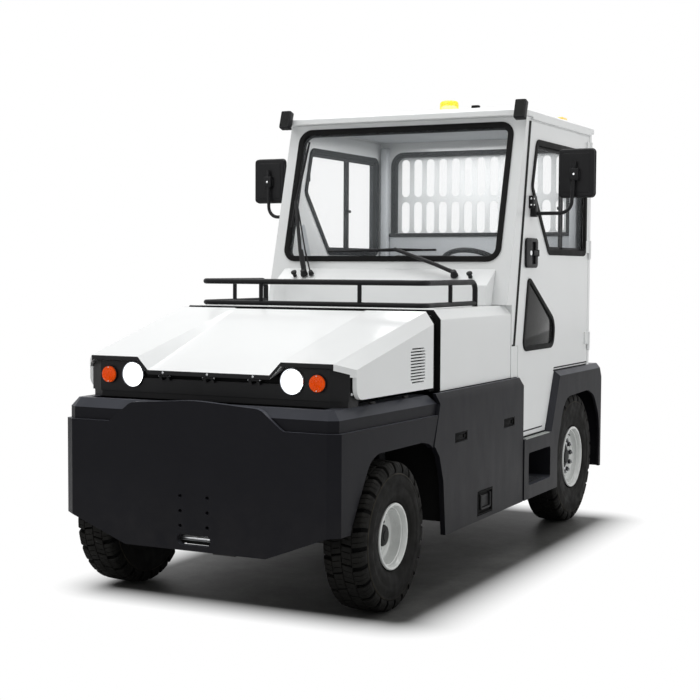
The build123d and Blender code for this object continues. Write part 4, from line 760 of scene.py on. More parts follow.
def rim(name, label, side):
    station, radius, _, centre_x, r, edge = WHEELS[name]
    body = f"{name}_wheel_{label}"
    out = basis(place(side * centre_x, station, radius - BODY_DATUM), (0, 1, 0), (side, 0, 0))
    front = name == "front"
    disc, hub = (16.0, 47.0) if front else (34.0, 66.0)
    profile = [(-edge + 2, r - 20), (-edge, r - 4), (-edge + 3, r), (-edge + 7, r - 1), (-edge + 11, r - 13),
               (-20, r - 15), (edge - 13, r - 14), (edge - 9, r - 5), (edge - 5, r - 1), (edge - 1, r),
               (edge + 3, r - 2), (edge + 4.5, r - 6), (edge + 3, r - 11), (edge - 4, r - 15),
               (edge - 13, r - 19), (edge - 17, r - 19.5), (edge - 19, r - 23), (edge - 27, r - 24),
               (disc + 14, r - 25), (disc + 6, r - 29), (disc + 1.5, r - 36), (disc, r - 44)]
    holes = [bean(hub + 22, 2 * pi * i / 4 + 0.08, 0.5, 11.5) for i in range(4)] if front else []
    face = plate([circle(r - 43, 96), circle(hub - 6, 48)] + holes, disc - 9, disc, 1.5, out)
    add_piece([lathe(profile, out, 120), face], f"{name}_rim_{label}_steel", "rim_paint", None, body,
              [f"{name}_rim_{label}"])
    if front:
        cap = [(-3, 5), (1, 4), (3, 0), (22, -2), (29, -6), (32, -14), (33, -24), (36, -26), (37, -hub)]
    else:
        cap = [(-3, 3), (1, 2), (2, -4), (8, -9), (14, -26), (20, -30), (22, -40), (21, -hub)]
    cap = lathe([(disc + along, hub + beyond) for along, beyond in cap], out, 64)
    add_piece(cap, f"{name}_hub_cap_{label}", "black_frame_paint", CAP, body)
    parts, washers = [], []
    count = 4 if front else 10
    for i in range(count):
        a = 2 * pi * i / count + (pi / 4 if front else 0.15)
        spot = moved(out, *polar(hub + 21, a), disc) @ Matrix.Rotation(a * 2.3, 4, "Z")
        if front:
            parts.append(dome_screw(7.0, spot))
            continue
        parts.append(hex_bolt(24.0, 17.0, spot, washer=False))
        washers.append(lathe([(0, 15), (2.5, 15.5), (4, 14.5), (4, 0)], spot, 28))
        washers.append(lathe([(16, 7.5), (26, 7.3), (28, 6), (28, 0)], spot, 16))
    add_piece(parts, f"{name}_nuts_{label}", "bright_pin", NUT, body)
    if washers:
        add_piece(washers, f"{name}_washers_{label}", "bright_pin", None, body)
    drum = lathe([(-30, 40), (-30, r - 40), (disc - 16, r - 46), (disc - 14, 40)], out, 64)
    add_piece(drum, f"{name}_drum_{label}", "axle_iron", None, body)
    stem = [point_on(out, 0, r - inward, disc + outward) for inward, outward in ((40, 6), (46, 30), (52, 36))]
    add_piece(tube(stem, 3.2, 6.0), f"{name}_valve_{label}", "black_rubber", None, body)


# Windows
WINDOW = [(2120, 1805), (2190, 2042), (3040, 2042), (3040, 1476), (2400, 1476)]
LOWER_WINDOW = [(2012, 980), (2082, 1328), (2112, 1328), (2506, 1104), (2478, 980)]
LOWER_ROUNDS = [40, 22, 22, 110, 50]
DOOR_OUTLINE = [(2101.8, 2141), (1899, 1003), (1943, 1003), (1943, 849), (1990, 803), (1990, 562),
                (2328, 562), (2510, 860), (3095, 860), (3095, 2141)]


def door_windows(label, side):
    body = f"door_{label}"
    outer, inner = side_plane(CAB_HALF, side), side_plane(CAB_HALF - DOOR_WALL, side)
    for name, outline, radius, lip, into in (("window", WINDOW, 40, 14, 17),
                                             ("low_window", LOWER_WINDOW, LOWER_ROUNDS, 12, 13)):
        rows = [(lip, 0.2, 6.0, 2.4, outer), (-0.6, -9.6, 0.6, 0.5, outer), (-0.6, -0.6, 23.4, 0.5, inner),
                (lip, -6.0, -0.2, 2.2, inner)]
        add_piece(gasket(outline, radius, into, rows), f"{name}_gasket_{label}", "black_rubber", None, body)
    pane = slab(grown(LOWER_WINDOW, -5), [max(r - 5, 4) for r in LOWER_ROUNDS], -4.0, -1.0, 0.5, outer)
    add_piece(pane, f"low_window_pane_{label}", "clear_glass", DARK_GLASS, body)
    bars = [slab(box(middle - 11, middle + 11, 1490, 2028), 2, -27.0, -16.8, 1.5, outer)
            for middle in (2640.0, 2670.0)]
    for outline in ([(2405, 1489), (3024, 1489), (3024, 1507), (2398, 1507)], box(2205, 3024, 2010, 2029)):
        bars.append(slab(outline, 2, -29, -16.8, 1.5, outer))
    add_piece(bars, f"slider_frame_{label}", "black_plastic", None, body)
    pull = block((42, 16, 12), 3, moved(outer, 2665, 1720, -34))
    catch = block((16, 72, 14), 4, moved(outer, 2190, 1905, -24))
    add_piece([pull, catch], f"slider_catches_{label}", "black_plastic", None, body)
    trims = ([(2030, 1346), (2090, 1660), (2180, 1455), (2380, 1440), (2380, 1210), (2120, 1346)],
             [(2010, 960), (2480, 960), (2330, 590), (2010, 590)])
    behind = side_plane(CAB_HALF - DOOR_WALL - 4.4, side)
    trims = [slab(outline, 14, 0.4, 4.0, 1.2, behind) for outline in trims]
    add_piece(trims, f"door_trim_{label}", "white_paint", INTERIOR, body)
    ring = ring_plate(DOOR_OUTLINE, 3, 7.4, -1.2, -30.0, -1.5, 0.8, outer)
    seal = add_piece(ring, f"door_seal_{label}", "white_paint")

    def rubber(centre, normal):
        station, z = centre.y / MM + HALF_LENGTH, centre.z / MM - BODY_DATUM
        return z > 1015 and station < 2115 or station > 2505 and z < 862 or z < 564

    paint_faces(seal, LOOKS["black_rubber"], rubber)
    pillar = [(2098.2, 2140), (1891.2, 1003), (1852, 1003), (1852, 1011), (1869.5, 1011), (2072, 2140)]
    strips = [plate([pillar], 0.2, 3.4, 0.8, outer)]
    for outline in (box(1994, 2345, 523.5, 531), box(2500, 3092, 839, 846)):
        strips.append(plate([outline], -3.8, -1.2, 0.8, outer))
    add_piece(strips, f"seam_strips_{label}", "black_rubber")


SCREEN_LOW, SCREEN_HIGH, SCREEN_HALF = (1833.0, 1420.0), (2030.0, 2136.0), 605.0


def screen_frame():
    """Windscreen plane: x left, y up the glass, z out of its face, from the glass's middle."""
    run, rise = SCREEN_HIGH[0] - SCREEN_LOW[0], SCREEN_HIGH[1] - SCREEN_LOW[1]
    middle = place(0, (SCREEN_LOW[0] + SCREEN_HIGH[0]) / 2, (SCREEN_LOW[1] + SCREEN_HIGH[1]) / 2)
    return basis(middle, (1, 0, 0), (0, -rise, run)), hypot(run, rise)


def screens():
    where, length = screen_frame()
    outline = box(-SCREEN_HALF, SCREEN_HALF, -(length - 30) / 2, (length - 30) / 2)
    rows = [(13, 0.2, 8.5, 3.6, where), (-0.6, -7.6, 0.6, 0.5, where), (-0.6, -36.0, -14.4, 0.5, where)]
    add_piece(gasket(outline, 60, 17, rows), "windscreen_gasket", "black_rubber")
    rear = front_plane(3103.0)
    rows = [(12, 0.2, 8.5, 3.4, rear), (-0.6, -14.6, 0.6, 0.5, rear), (-0.6, -35.6, -21.4, 0.5, rear)]
    add_piece(gasket(box(-560, 560, 1500, 2080), 70, 17, rows), "rear_window_gasket", "black_rubber")


# Lamps
def headlamp(label, side):
    where = front_plane(129.0, side * 384.0, 935.0)
    ring = lathe([(-22, 48.6), (-1, 48.8), (4, 49.4), (6.5, 51.0), (6.5, 53.0), (3.5, 55.4), (-0.4, 55.8),
                  (-0.4, 49.8), (-22, 49.8)], where, 96, closed=True)
    bowl = lathe([(-12, 48.4), (-24, 42), (-36, 30), (-42, 14), (-43, 0)], where, 72)
    add_piece([ring, bowl], f"headlamp_ring_{label}", "bright_pin", BEZEL)
    lens = [(-12, 48.4), (-8.5, 47.8)]
    lens += [(-8.5 + 5.5 * (1 - (r / 47.0) ** 2), r) for r in (44, 36, 28, 19, 10)] + [(-3, 0)]
    lens = lathe(lens, where, 72)
    add_piece(lens, f"headlamp_lens_{label}", "lamp_lens", replaces=once("headlamps", side))


def indicator(label, side):
    count = 60
    where = front_plane(116.0, side * 502.0, 932.0)
    cup = lathe([(-48, 37), (-9, 37), (-6, 36.4), (-5.4, 34.6), (-8, 33.4)], where, 64)
    add_piece(cup, f"indicator_cup_{label}", "black_plastic")
    bm = bmesh.new()
    rings = []
    for k, reach in enumerate((34.6, 33.6, 30, 25, 20, 15, 10, 5)):
        ring = []
        for i in range(count):
            high = 1.0 + 5.5 * (1 - (reach / 36) ** 2) if k else -7.0
            if k > 1:
                high += 2.0 * (1 if (i // 4 + k) % 2 else -1)
            ring.append(bm.verts.new(Vector((*polar(reach, 2 * pi * i / count), high)) * MM))
        rings.append(ring)
    for low, high in zip(rings, rings[1:]):
        for i in range(count):
            bm.faces.new((low[i], low[(i + 1) % count], high[(i + 1) % count], high[i]))
    bm.faces.new(rings[-1])
    add_piece(to_mesh(bm, where), f"indicator_lens_{label}", "amber_lens", smooth=15,
              replaces=once("indicators", side))
    screws = [dome_screw(3.0, moved(where, 0, s * 29.5, 2.8), False) for s in (1, -1)]
    add_piece(screws, f"indicator_screws_{label}", "bright_pin")


def roof_light(label, side):
    where = at_point(side * 671.0, 1963.0, 2185.0, turned(-18))
    face = where @ turned(90)
    shell = block((58, 40, 98), 5, where, 3)
    opening = box(-22, 22, -42, 42)
    lip = plate([rounded(box(-27, 27, -47, 47), 6), rounded(opening, 4)], 19.0, 23.0, 1.2, face)
    foot = block((34, 30, 14), 3, at_point(side * 668.0, 1972.0, 2142.0))
    replaced = once("roof_lamps", side)
    add_piece([shell, lip, foot], f"roof_lamp_{label}", "black_plastic", replaces=replaced)
    pane = slab(opening, 4, 20.4, 21.4, 0.3, face)
    add_piece(pane, f"roof_lamp_glass_{label}", "lamp_lens", DARK_GLASS)


def beacon():
    top = 2214.4
    where = at_point(0, 2640.0, top)
    base = lathe([(0, 0), (0, 59), (4, 59), (8, 57.5), (22, 56.5), (25, 54), (25, 0)], where, 72)
    add_piece(base, "beacon_base", "black_plastic")
    shell = [(25, 54.5), (30, 55)] + [(30 + 68 * k / 6, 55 - 2.0 * k / 6) for k in range(1, 7)]
    shell += [(98 + 19 * sin(a), 33 + 20 * cos(a)) for a in (0.3, 0.6, 0.9, 1.2, 1.5)] + [(117, 20), (117, 0)]
    add_piece(lathe(shell, where, 96), "beacon_shell", "amber_lens", BEACON_SHELL, replaces=["beacon"])
    core = [(25, 0), (25, 40), (30, 44)]
    core += [(30 + 9 * k + d, 44 + (2 if d else 0)) for k in range(6) for d in (0, 4.5)] + [(88, 36), (90, 0)]
    add_piece(lathe(core, where, 48), "beacon_core", "amber_lens", BEACON_CORE)
    for label, side in SIDES:
        spot = at_point(side * 560.0, 2950.0, top, turned(90, "Z"))
        add_piece(slab(box(-48, 48, -24, 24), 12, 0, 8, 2, spot), f"marker_base_{label}", "black_rubber")
        lens = slab(box(-43, 43, -19, 19), 10, 7, 30, 7, spot, 4)
        add_piece(lens, f"marker_lens_{label}", "amber_lens", MARKER)
    arch = [place(x, 2640, top + up) for x, up in ((95, 0), (118, 50), (160, 74), (196, 52), (204, 0))]
    humps = [tube(arch, 7, 30),
             lathe([(0, 24), (3, 24), (6, 15), (34, 13), (38, 9), (38, 0)], at_point(204, 2640, top), 32),
             lathe([(0, 20), (3, 20), (6, 12), (26, 10), (28, 0)], at_point(95, 2640, top), 32),
             block((44, 30, 26), 5, at_point(160, 2640, top + 72), 3)]
    add_piece(humps, "roof_conduit", "black_rubber")


def rear_lamp(label, side):
    where = basis(place(side * 645.0, 3312.4, 660.0), (-1, 0, 0), (0, 1, 0))
    housing = slab(box(-45, 45, -100, 100), 9, 0, 20, 4, where)
    add_piece(housing, f"rear_lamp_housing_{label}", "black_plastic", replaces=once("rear_lamps", side))
    for part, low, high, slot, look in (("stop", 2, 92, "red_lens", None),
                                        ("turn", -46, -2, "amber_lens", None),
                                        ("reverse", -92, -50, "lamp_lens", CLEAR_LENS)):
        lens = slab(box(-38, 38, low, high), 6, 18, 28, 4, where, 4)
        add_piece(lens, f"rear_{part}_lens_{label}", slot, look)


# Hood, panel and bumper fittings
def front_fittings():
    bolts = []
    for side in (1, -1):
        for z in (972.0, 890.0):
            way = (side * 0.97, -0.25, 0)
            bolts.append(dome_screw(6.5, towards(place(side * 623.8, 181.0, z), way)))
        for outward in (1, -1):
            spot = place(side * (217.0 + outward * 26.5), 116.0, 935.0)
            bolts.append(dome_screw(5.0, towards(spot, (outward, 0, 0)), False))
    for x in (-26.5, 26.5):
        bolts.append(dome_screw(5.0, towards(place(x, 116.0, 935.0), (x, 0, 0)), False))
    add_piece(bolts, "panel_screws", "bright_pin")
    tags = [dome_screw(5.5, front_plane(103.8, x, 949.0)) for x in (-217.0, 0.0, 217.0)]
    add_piece(tags, "hood_lip_screws", "bright_pin", None, "hood")
    # Painted shade: a near-black sheet behind the hood's front gap
    shade_gap_sheet = slab(box(-346, 346, 900, 950), 3, -1.5, 1.5, 0.5, front_plane(144.0))
    add_piece(shade_gap_sheet, "hood_front_baffle", "black_plastic", SHADE_AND_MATTE_BLACK)
    # Painted shade: a near-black sheet at the back of the tow slot
    shade_back = slab(box(-112, 112, 239, 342), 3, -1.5, 1.5, 0.5, front_plane(122.0))
    add_piece(shade_back, "tow_slot_pocket", "black_frame_paint", SHADE_AND_MATTE_BLACK)
    # Painted shade: near-black sheets behind the hood's louvres
    for label, side in SIDES:
        mesh = slab(box(650, 810, 890, 1056), 6, -5, -3, 0.4, side_plane(640.0, side))
        add_piece(mesh, f"louvre_shade_sheet_{label}", "black_rubber", SHADE_AND_MATTE_BLACK, "hood")
    clips = [block((16, 40, 10), 3, at_point(side * 655.0, station, 848.0))
             for side in (1, -1) for station in (300.0, 620.0)]
    add_piece(clips, "hood_rest_pads", "black_rubber")


def latch(station, z, side, label, index):
    """Square slam latch in its recess: dished cup, paddle and a dark gap round it."""
    outer = moved(side_plane(SIDE_HALF, side), station, z)
    edges = [rounded(box(-71, 71, -20.5, 20.5), 4), rounded(box(-64, 64, -15, 15), 3)]
    cup = plate(edges, -7.6, 0.8, 1.0, outer)
    paddle = slab(box(-60, 20, -12, 12), 3, -7.6, -2.0, 1.2, outer)
    barrel = lathe([(-7.6, 9), (-1.2, 9), (-0.4, 8), (-0.4, 0)], moved(outer, 42, 0), 28)
    add_piece([cup, paddle, barrel], f"latch_{label}_{index}", "black_plastic", SHADE_AND_MATTE_BLACK)


def panel_fittings(label, side):
    latch(1147.0, 626.0, side, label, 1)
    latch(1773.0, 632.0, side, label, 2)
    where = side_plane(SIDE_HALF, side)
    outline = box(1357, 1545, 228, 343)
    parts = [plate([rounded(outline, 6), rounded(grown(outline, -9), 4)], -11.4, 2.0, 1.4, where),
             slab(grown(outline, -8), 4, -11.6, -9.6, 0.4, where)]
    add_piece(parts, f"pull_frame_{label}", "black_plastic", SHADE_AND_MATTE_BLACK)
    bends = [(322, -9), (322, 0), (256, 0)]
    grip = [point_on(where, 1392, *bend) for bend in bends]
    grip += [point_on(where, 1512, *bend) for bend in reversed(bends)]
    tab = slab(box(1400, 1504, 262, 318), 8, -9.6, -4.5, 2, where)
    add_piece([tube(grip, 5.5, 12), tab], f"pull_grip_{label}", "black_plastic")
    strip = slab([(2002, 526.2), (2366, 526.2), (2366, 521.2), (2002, 521.2)], 1, -24.0, 2.4, 0.5,
                 side_plane(705.0, side))
    add_piece(strip, f"step_edge_strip_{label}", "floor_paint", EDGE_STRIP)
    stud = [(0, 9), (2.2, 8.4), (2.2, 5.5), (1.2, 5), (1.2, 0)]
    studs = [lathe(stud, at_point(side * (598 + 34 * j), 2074 + 37 * i, 280.2), 16)
             for i in range(9) for j in range(3)]
    add_piece(studs, f"step_studs_{label}", "floor_paint")


# Cab fittings
def mirrors(label, side):
    body = f"door_{label}"
    face = CAB_HALF + 0.3
    arm = [block((24, 64, 66), 5, at_point(side * (face + 12), 2108, 1729), 3),
           block((30, 40, 60), 5, at_point(side * (face + 15), 2118, 1684), 3),
           tube([place(side * (face + 14), 2118, 1672), place(side * 882, 2140, 1672),
                 place(side * 893, 2150, 1935)], 9.5, 62),
           block((44, 30, 62), 4, at_point(side * 893, 2152, 1868), 3),
           block((54, 14, 34), 3, at_point(side * 893, 2166, 1868), 2)]
    add_piece(arm, f"mirror_arm_{label}", "black_plastic", None, body, [f"door_fittings_{label}"])
    outline = box(-94, 94, -122, 122)
    back = front_plane(2182, side * 897, 1876)
    shell = plate([rounded(outline, 20, 10)], -12, 14, 8.0, back, 5)
    lip = plate([rounded(grown(outline, 3), 23, 10), rounded(grown(outline, -9), 12, 10)], -15, -8, 2.4, back)
    raised = slab(grown(outline, -22), 10, 12.6, 16.4, 1.6, back)
    add_piece([shell, lip, raised], f"mirror_head_{label}", "black_plastic", None, body)
    pane = plate([rounded(grown(outline, -8), 14, 10)], -13.6, -12.2, 0.3, back)
    add_piece(pane, f"mirror_face_{label}", "bright_pin", MIRROR, body)
    screws = [dome_screw(6.0, towards(place(side * 893, 2136.6, 1868), (0, -1, 0)))]
    for beyond, station, way in ((14, 2075.6, (0, -1, 0)), (24, 2090, (side, 0, 0))):
        for z in (1714, 1746):
            screws.append(dome_screw(5.0, towards(place(side * (face + beyond), station, z), way)))
    add_piece(screws, f"mirror_screws_{label}", "bright_pin", CHROME, body)


def handle(label, side):
    body = f"door_{label}"
    where = moved(side_plane(CAB_HALF + 0.3, side), 2112, 1470)
    edges = [rounded(box(-90, 84, -76, 76), 24), rounded(box(-6, 46, -56, 56), 8)]
    parts = [plate(edges, 0, 13, 4, where, 3),
             slab(box(-8, 48, -58, 58), 6, 0, 2.5, 0.5, where),
             block((76, 26, 9), 3.5, moved(where, 36, 0, 17), 3),
             block((16, 34, 17), 3, moved(where, 70, 0, 14), 3)]
    add_piece(parts, f"door_handle_{label}", "black_plastic", None, body)
    key = lathe([(10, 13), (14.5, 13), (16.5, 11.5), (16.5, 4), (15, 3.4), (15, 0)], moved(where, -30, 0), 32)
    add_piece(key, f"door_key_{label}", "bright_pin", CHROME, body)


def wipers():
    """Two arms on the wiper box with their springs, blades and pivot caps."""
    where, length = screen_frame()

    def glass(x, up, out):
        return point_on(where, x, up - length / 2, out)

    slope = Vector((0, -0.775, 1)).normalized()
    outward = where.to_3x3() @ Vector((0, 0, MM))
    parts, rubber = [], []
    # Pivot's x, then the arm's tip and both ends of the blade on the glass
    table = [(-443, (-574, 330), (-588, 190), (-548, 668)), (408, (45, 62), (-345, 54), (270, 62))]
    for pivot, arm, low, high in table:
        foot = place(pivot, 1752, 1352)
        cap = [(0, 20), (10, 19), (18, 15), (30, 14), (33, 11), (34, 0)]
        parts.append(lathe(cap, towards(foot, slope), 32))
        start = foot + slope * 0.022
        tip = glass(*arm, 27)
        knee = start.lerp(tip, 0.28) + Vector((0, -0.012, 0.006))
        spring = start.lerp(tip, 0.3) + Vector((0.008, -0.008, 0))
        parts += [tube([start, knee, tip], 10.0, 60), tube([start + Vector((0.012, 0, 0)), spring], 8.5, 10)]
        if pivot < 0:
            second = [start + Vector((0.040, 0.004, -0.006)), knee + Vector((0.030, 0, 0)),
                      tip + Vector((0.006, 0, 0))]
            parts.append(tube(second, 4.0, 60))
            cap = [(0, 14), (8, 13), (22, 10), (23, 0)]
            parts.append(lathe(cap, towards(place(pivot + 40, 1756, 1355), slope), 28))
        ends = [glass(*low, 13), glass(*high, 13)]
        middle = glass(*arm, 13)
        parts.append(tube([ends[0].lerp(middle, 0.35), glass(*arm, 26), ends[1].lerp(middle, 0.35)], 6.0, 40))
        for first, second in ((0.1, 0.5), (0.5, 0.9)):
            p, q = ends[0].lerp(ends[1], first), ends[0].lerp(ends[1], second)
            parts.append(tube([p, p.lerp(q, 0.5) + outward * 9, q], 3.0, 30))
        parts.append(tube(ends, 6.0))
        rubber.append(tube([end - outward * 6 for end in ends], 2.6))
    for x in (-497, 495):
        knob = [(0, 11), (14, 10), (20, 15), (28, 15), (32, 9), (33, 0)]
        parts.append(lathe(knob, towards(place(x, 1748, 1346), slope), 28))
    add_piece(parts, "wiper_arms", "black_plastic", replaces=["wipers"])
    add_piece(rubber, "wiper_rubbers", "black_rubber")


# Middle of the steering wheel, z along the column
COLUMN = at_point(320, 2240, 1385, turned(-35))


def steering_wheel():
    down = COLUMN.to_3x3() @ Vector((0, 0, -1))
    ring = [(14 * sin(2 * pi * i / 12), 176 + 13.5 * cos(2 * pi * i / 12)) for i in range(12)]
    parts = [lathe(ring, COLUMN, 96, closed=True)]
    for a in (radians(90), radians(210), radians(330)):
        line = [point_on(COLUMN, *polar(r, a), z) for r, z in ((30, 2), (90, -6), (168, 0))]
        parts.append(tube(line, 9.5, 60))
    hub = [(-26, 0), (-26, 40), (-12, 46), (10, 48), (18, 44), (22, 34), (24, 30), (24.5, 0)]
    parts.append(lathe(hub, COLUMN, 48))
    for i in range(24):
        spot = point_on(COLUMN, *polar(176, 2 * pi * i / 24), -12.5)
        parts.append(lathe([(-2, 0), (-2, 4), (0, 5), (2, 4), (2, 0)], towards(spot, down), 10))
    add_piece(parts, "steering_wheel_detail", "black_plastic", None, "steering_wheel", ["steering_wheel"])


def dashboard():
    """Dash hood and gauges."""
    hood = slab([(1962, 1412), (2092, 1336), (2104, 1352), (2050, 1432), (1985, 1440)], 10, -170, 170, 6,
                side_plane(300.0))
    add_piece(hood, "gauge_hood", "black_plastic")
    spots = [moved(towards(place(300, 2085, 1380), (0, 0.8, 0.6)), dx, 0) for dx in (-95, 0, 95)]
    dials = [lathe([(0, 38), (5, 38), (7, 36), (7, 33), (2, 31)], spot, 40) for spot in spots]
    faces = [lathe([(1.5, 31), (1.6, 0)], spot, 40) for spot in spots]
    add_piece(dials, "gauge_rings", "bright_pin", CHROME)
    add_piece(faces, "gauge_faces", "black_plastic", DARK_GLASS)


def controls():
    """Pedals, stalks with the column's shroud, and the gear lever."""
    pedals = []
    for x, station, z in ((190, 1960, 690), (330, 1958, 690), (440, 1975, 660)):
        pedals.append(block((70, 90, 12), 4, at_point(x, station, z, turned(-55)), 3))
        stem = [place(x, station - 18, z + 12), place(x, 1915, z + 150), place(x, 1905, z + 320)]
        pedals.append(tube(stem, 8, 40))
    add_piece(pedals, "pedals", "black_plastic")
    shroud = []
    bends = ((34, 0, -70), (120, 14, -62), (165, 22, -50))
    for side in (1, -1):
        shroud.append(tube([point_on(COLUMN, side * x, y, z) for x, y, z in bends], 6, 40))
    shroud.append(lathe([(-132, 33), (-128, 42), (-60, 46), (-54, 40), (-40, 34)], COLUMN, 40))
    add_piece(shroud, "column_shroud", "black_plastic")
    top = towards(place(-2, 2300, 1112), (0, -0.2, 1))
    lever = [tube([place(0, 2330, 872), place(-6, 2320, 1010), place(-2, 2300, 1120)], 8, 50),
             lathe([(0, 12), (10, 20), (26, 23), (40, 17), (46, 0)], top, 32),
             lathe([(0, 60), (6, 58), (30, 30), (36, 16), (36, 10)], at_point(0, 2330, 868.2), 40)]
    add_piece(lever, "gear_lever", "black_plastic")


def linings():
    """Headliner, the grey posts behind the doors' windows and the rear shelf."""
    lining = slab(box(-590, 590, 2130, 3080), 30, 0, 6, 2, at_point(0, 0, 2147))
    add_piece(lining, "headliner", "white_paint", INTERIOR)
    posts = [slab(box(3046, 3096, 1420, 2120), 12, -22, 22, 8, side_plane(x)) for x in (600.0, -600.0)]
    add_piece(posts, "rear_posts", "white_paint", INTERIOR)
    shelf = slab(box(-575, 575, 1392, 1582), 10, 2, 14, 4, front_plane(3100.0))
    add_piece(shelf, "rear_shelf", "white_paint", INTERIOR)
    edge = slab(box(-580, 580, 1580, 1602), 8, 1, 22, 5, front_plane(3100.0))
    add_piece(edge, "rear_shelf_edge", "black_rubber")


# Seats
CLOTH_FRAMES, CLOTH_PRESSURE, SWELL_LIMIT = 16, 4.0, 7.0


def cushion_mesh(size, corner, crown):
    """Closed pad with rounded corners and a slight crown, remeshed to even small faces."""
    parts = block(size, corner, Matrix.Identity(4), 4)
    bm = bmesh.new()
    bm.from_mesh(parts)
    bpy.data.meshes.remove(parts)
    long_edges = [e for e in bm.edges if e.calc_length() > 0.05]
    bmesh.ops.subdivide_edges(bm, edges=long_edges, cuts=14, use_grid_fill=True)
    for v in bm.verts:
        x, y = v.co.x / (size[0] * MM / 2), v.co.y / (size[1] * MM / 2)
        if v.co.z > 0:
            v.co.z += crown * MM * max(0.0, (1 - x * x)) * max(0.0, (1 - y * y))
    return to_mesh(bm)


def puffed(name, mesh):
    """Swells a pad a little by cloth pressure, with every point's travel capped."""
    obj = linked(name, mesh)
    modify(obj, "remesh", "REMESH", mode="VOXEL", voxel_size=0.009)
    even = evaluated(obj)
    obj.modifiers.clear()
    obj.data = even
    rest = [v.co.copy() for v in even.vertices]
    cloth = obj.modifiers.new("cloth", "CLOTH")
    cloth.settings.use_pressure = True
    cloth.settings.uniform_pressure_force = CLOTH_PRESSURE
    cloth.settings.effector_weights.gravity = 0.0
    cloth.point_cache.frame_start, cloth.point_cache.frame_end = 1, CLOTH_FRAMES
    for step in range(1, CLOTH_FRAMES + 1):
        scene.frame_set(step)
    swollen = evaluated(obj)
    for vertex, start in zip(swollen.vertices, rest):
        move = vertex.co - start
        if move.length > SWELL_LIMIT * MM:
            vertex.co = start + move.normalized() * SWELL_LIMIT * MM
    obj.modifiers.clear()
    obj.data = swollen
    scene.frame_set(1)
    result = obj.data.copy()
    bpy.data.objects.remove(obj)
    return result


def piping(half_width, half_depth, radius, where):
    """Thin round seam along the edge of a pad."""
    outline = box(-half_width, half_width, -half_depth, half_depth)
    line = [point_on(where, x, y) for x, y in rounded(outline, radius, 6)]
    return tube(line + [line[0]], 3.0, 0)


def seats():
    base = puffed("seat_pad", cushion_mesh((440, 432, 92), 26, 8))
    back = puffed("back_pad", cushion_mesh((430, 470, 80), 28, 6))
    middle, rear, low = 2705.0, 2930.0, 970.0
    for label, x in (("driver", 290.0), ("passenger", -290.0)):
        for kind, mesh, where in (("cushion", base, at_point(x, middle, low + 54)),
                                  ("back", back, at_point(x, rear + 50.5, 1238, turned(90)))):
            copy = mesh.copy()
            copy.transform(where)
            replaced = ["seats"] if (label, kind) == ("driver", "cushion") else []
            obj = add_piece(copy, f"{label}_{kind}", "seat_cover", replaces=replaced, smooth=80)
            modify(obj, "finish", "SUBSURF", levels=1, render_levels=1)
        seams = [piping(206, 202, 40, at_point(x, middle, low + 104)),
                 piping(202, 222, 44, at_point(x, rear + 8, 1240, turned(90)))]
        add_piece(seams, f"{label}_piping", "seat_cover", LOOKS["black_rubber"])


def arch_fittings(label, side):
    """Near-black sheet as painted shade, steering damper and bolts seen through the front wheel arches."""
    outline = [(side * 332, 262), (side * 675, 262), (side * 675, 640), (side * 332, 640)]
    # Painted shade: a near-black sheet across the arch where there is only shade
    shade_sheet = slab(outline, 5, -3, 3, 1.5, front_plane(978.0))
    add_piece(shade_sheet, f"arch_liner_{label}", "black_frame_paint", SHADE_AND_MATTE_BLACK)
    rod = [tube([place(side * 420, 862, 640), place(side * 432, 880, 330)], 15, 10),
           tube([place(side * 422, 865, 580), place(side * 429, 875, 420)], 24, 10),
           block((40, 60, 50), 6, at_point(side * 432, 882, 318), 3)]
    add_piece(rod, f"arch_damper_{label}", "axle_iron")
    bolt = hex_bolt(22, 14, towards(place(side * 453, 884, 320), (side, 0, 0)))
    add_piece(bolt, f"arch_bolts_{label}", "bright_pin")


# Floor and light
def stage():
    size = 30.0
    mesh = bpy.data.meshes.new("floor")
    mesh.from_pydata([(x, y, 0) for x, y in box(-size, size, -size, size)], [], [(0, 1, 2, 3)])
    floor = linked("floor", mesh)
    mesh.materials.append(floor_look())
    scene.view_settings.view_transform = "Standard"


def sky():
    """A dim pale sky as light, seen as plain white by the camera, in mirrors and through glass."""
    strength = 0.38
    scene.world = bpy.data.worlds.new("world")
    scene.world.use_nodes = True
    n = Nodes(scene.world.node_tree)
    dim = n.tree.nodes["Background"]
    n.put(dim.inputs["Color"], rgb(0.97, 0.985, 0.98))
    n.put(dim.inputs["Strength"], strength)
    white = n.node("ShaderNodeBackground", {"Color": rgb(1.0, 1.0, 1.0), "Strength": 1.0})
    path = n.node("ShaderNodeLightPath").outputs
    seen = n.math("MAXIMUM", path["Is Camera Ray"], path["Is Glossy Ray"])
    seen = n.math("MAXIMUM", seen, path["Is Transmission Ray"])
    mix = n.node("ShaderNodeMixShader", {0: seen, 1: dim.outputs[0], 2: white.outputs[0]})
    n.put(n.tree.nodes["World Output"].inputs["Surface"], mix.outputs[0])


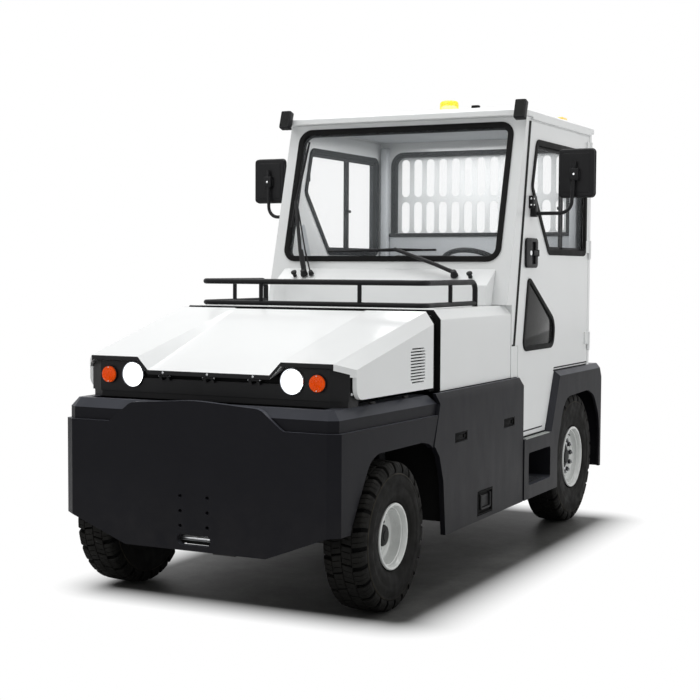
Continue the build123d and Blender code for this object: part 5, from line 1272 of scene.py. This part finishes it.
def lights():
    for name, where, aim, size, power in (
            ("top_light", (-0.9, 0.3, 6.0), (0, 0, 0), 6.0, 285.0),
            ("left_light", (6.5, 0.5, 3.2), (0, 0, 0.9), 4.0, 76.0),
            ("cab_light", (0, 0.9, 2.14), (0, 0.9, 0), 0.8, 9.0),
            ("front_light", (-2.5, -7.0, 3.4), (0, 0, 0.9), 3.5, 50.0)):
        data = bpy.data.lights.new(name, "AREA")
        data.shape = "SQUARE"
        data.size = size
        data.energy = power
        lamp = linked(name, data)
        lamp.location = where
        lamp.rotation_mode = "QUATERNION"
        lamp.rotation_quaternion = (Vector(aim) - Vector(where)).to_track_quat("-Z", "Y")


def second_looks():
    """Rubber, plastic and paint on single faces of the carried-over nodes, found by places in metres."""
    cowl_front, lip_front, low_glass_top = -0.755, -1.592, 1.40
    lip_middle, lip_reach = Vector((-1.594, 0.96)), 0.026
    pin_middle, pin_radius, near = Vector((-1.665, 0.307)), 0.012, 0.003

    def cowl_face(centre, normal):
        return abs(centre.y - cowl_front) < near and normal.y < -0.9

    def hood_lip(centre, normal):
        return centre.y < lip_front and normal.y < -0.9 or (centre.yz - lip_middle).length < lip_reach

    def beside_pin(centre, normal):
        return abs((centre.yz - pin_middle).length - pin_radius) > near

    paint_faces(NODES["cowl"], LOOKS["black_rubber"], cowl_face)
    paint_faces(NODES["hood"], LOOKS["black_plastic"], hood_lip)
    paint_faces(NODES["tow_pins"], LOOKS["black_frame_paint"], beside_pin)
    for label, _ in SIDES:
        glass = NODES[f"door_glass_{label}"]
        paint_faces(glass, DARK_GLASS, lambda centre, normal: centre.z < low_glass_top)


dress_nodes()
second_looks()
for label, side in SIDES:
    for name in WHEELS:
        tyre(name, label, side)
        rim(name, label, side)
    for fit in (door_windows, mirrors, handle, headlamp, indicator, roof_light, rear_lamp, panel_fittings,
                arch_fittings):
        fit(label, side)
for make in (screens, beacon, front_fittings, wipers, steering_wheel, dashboard, controls, linings, seats,
             stage, sky, lights):
    make()
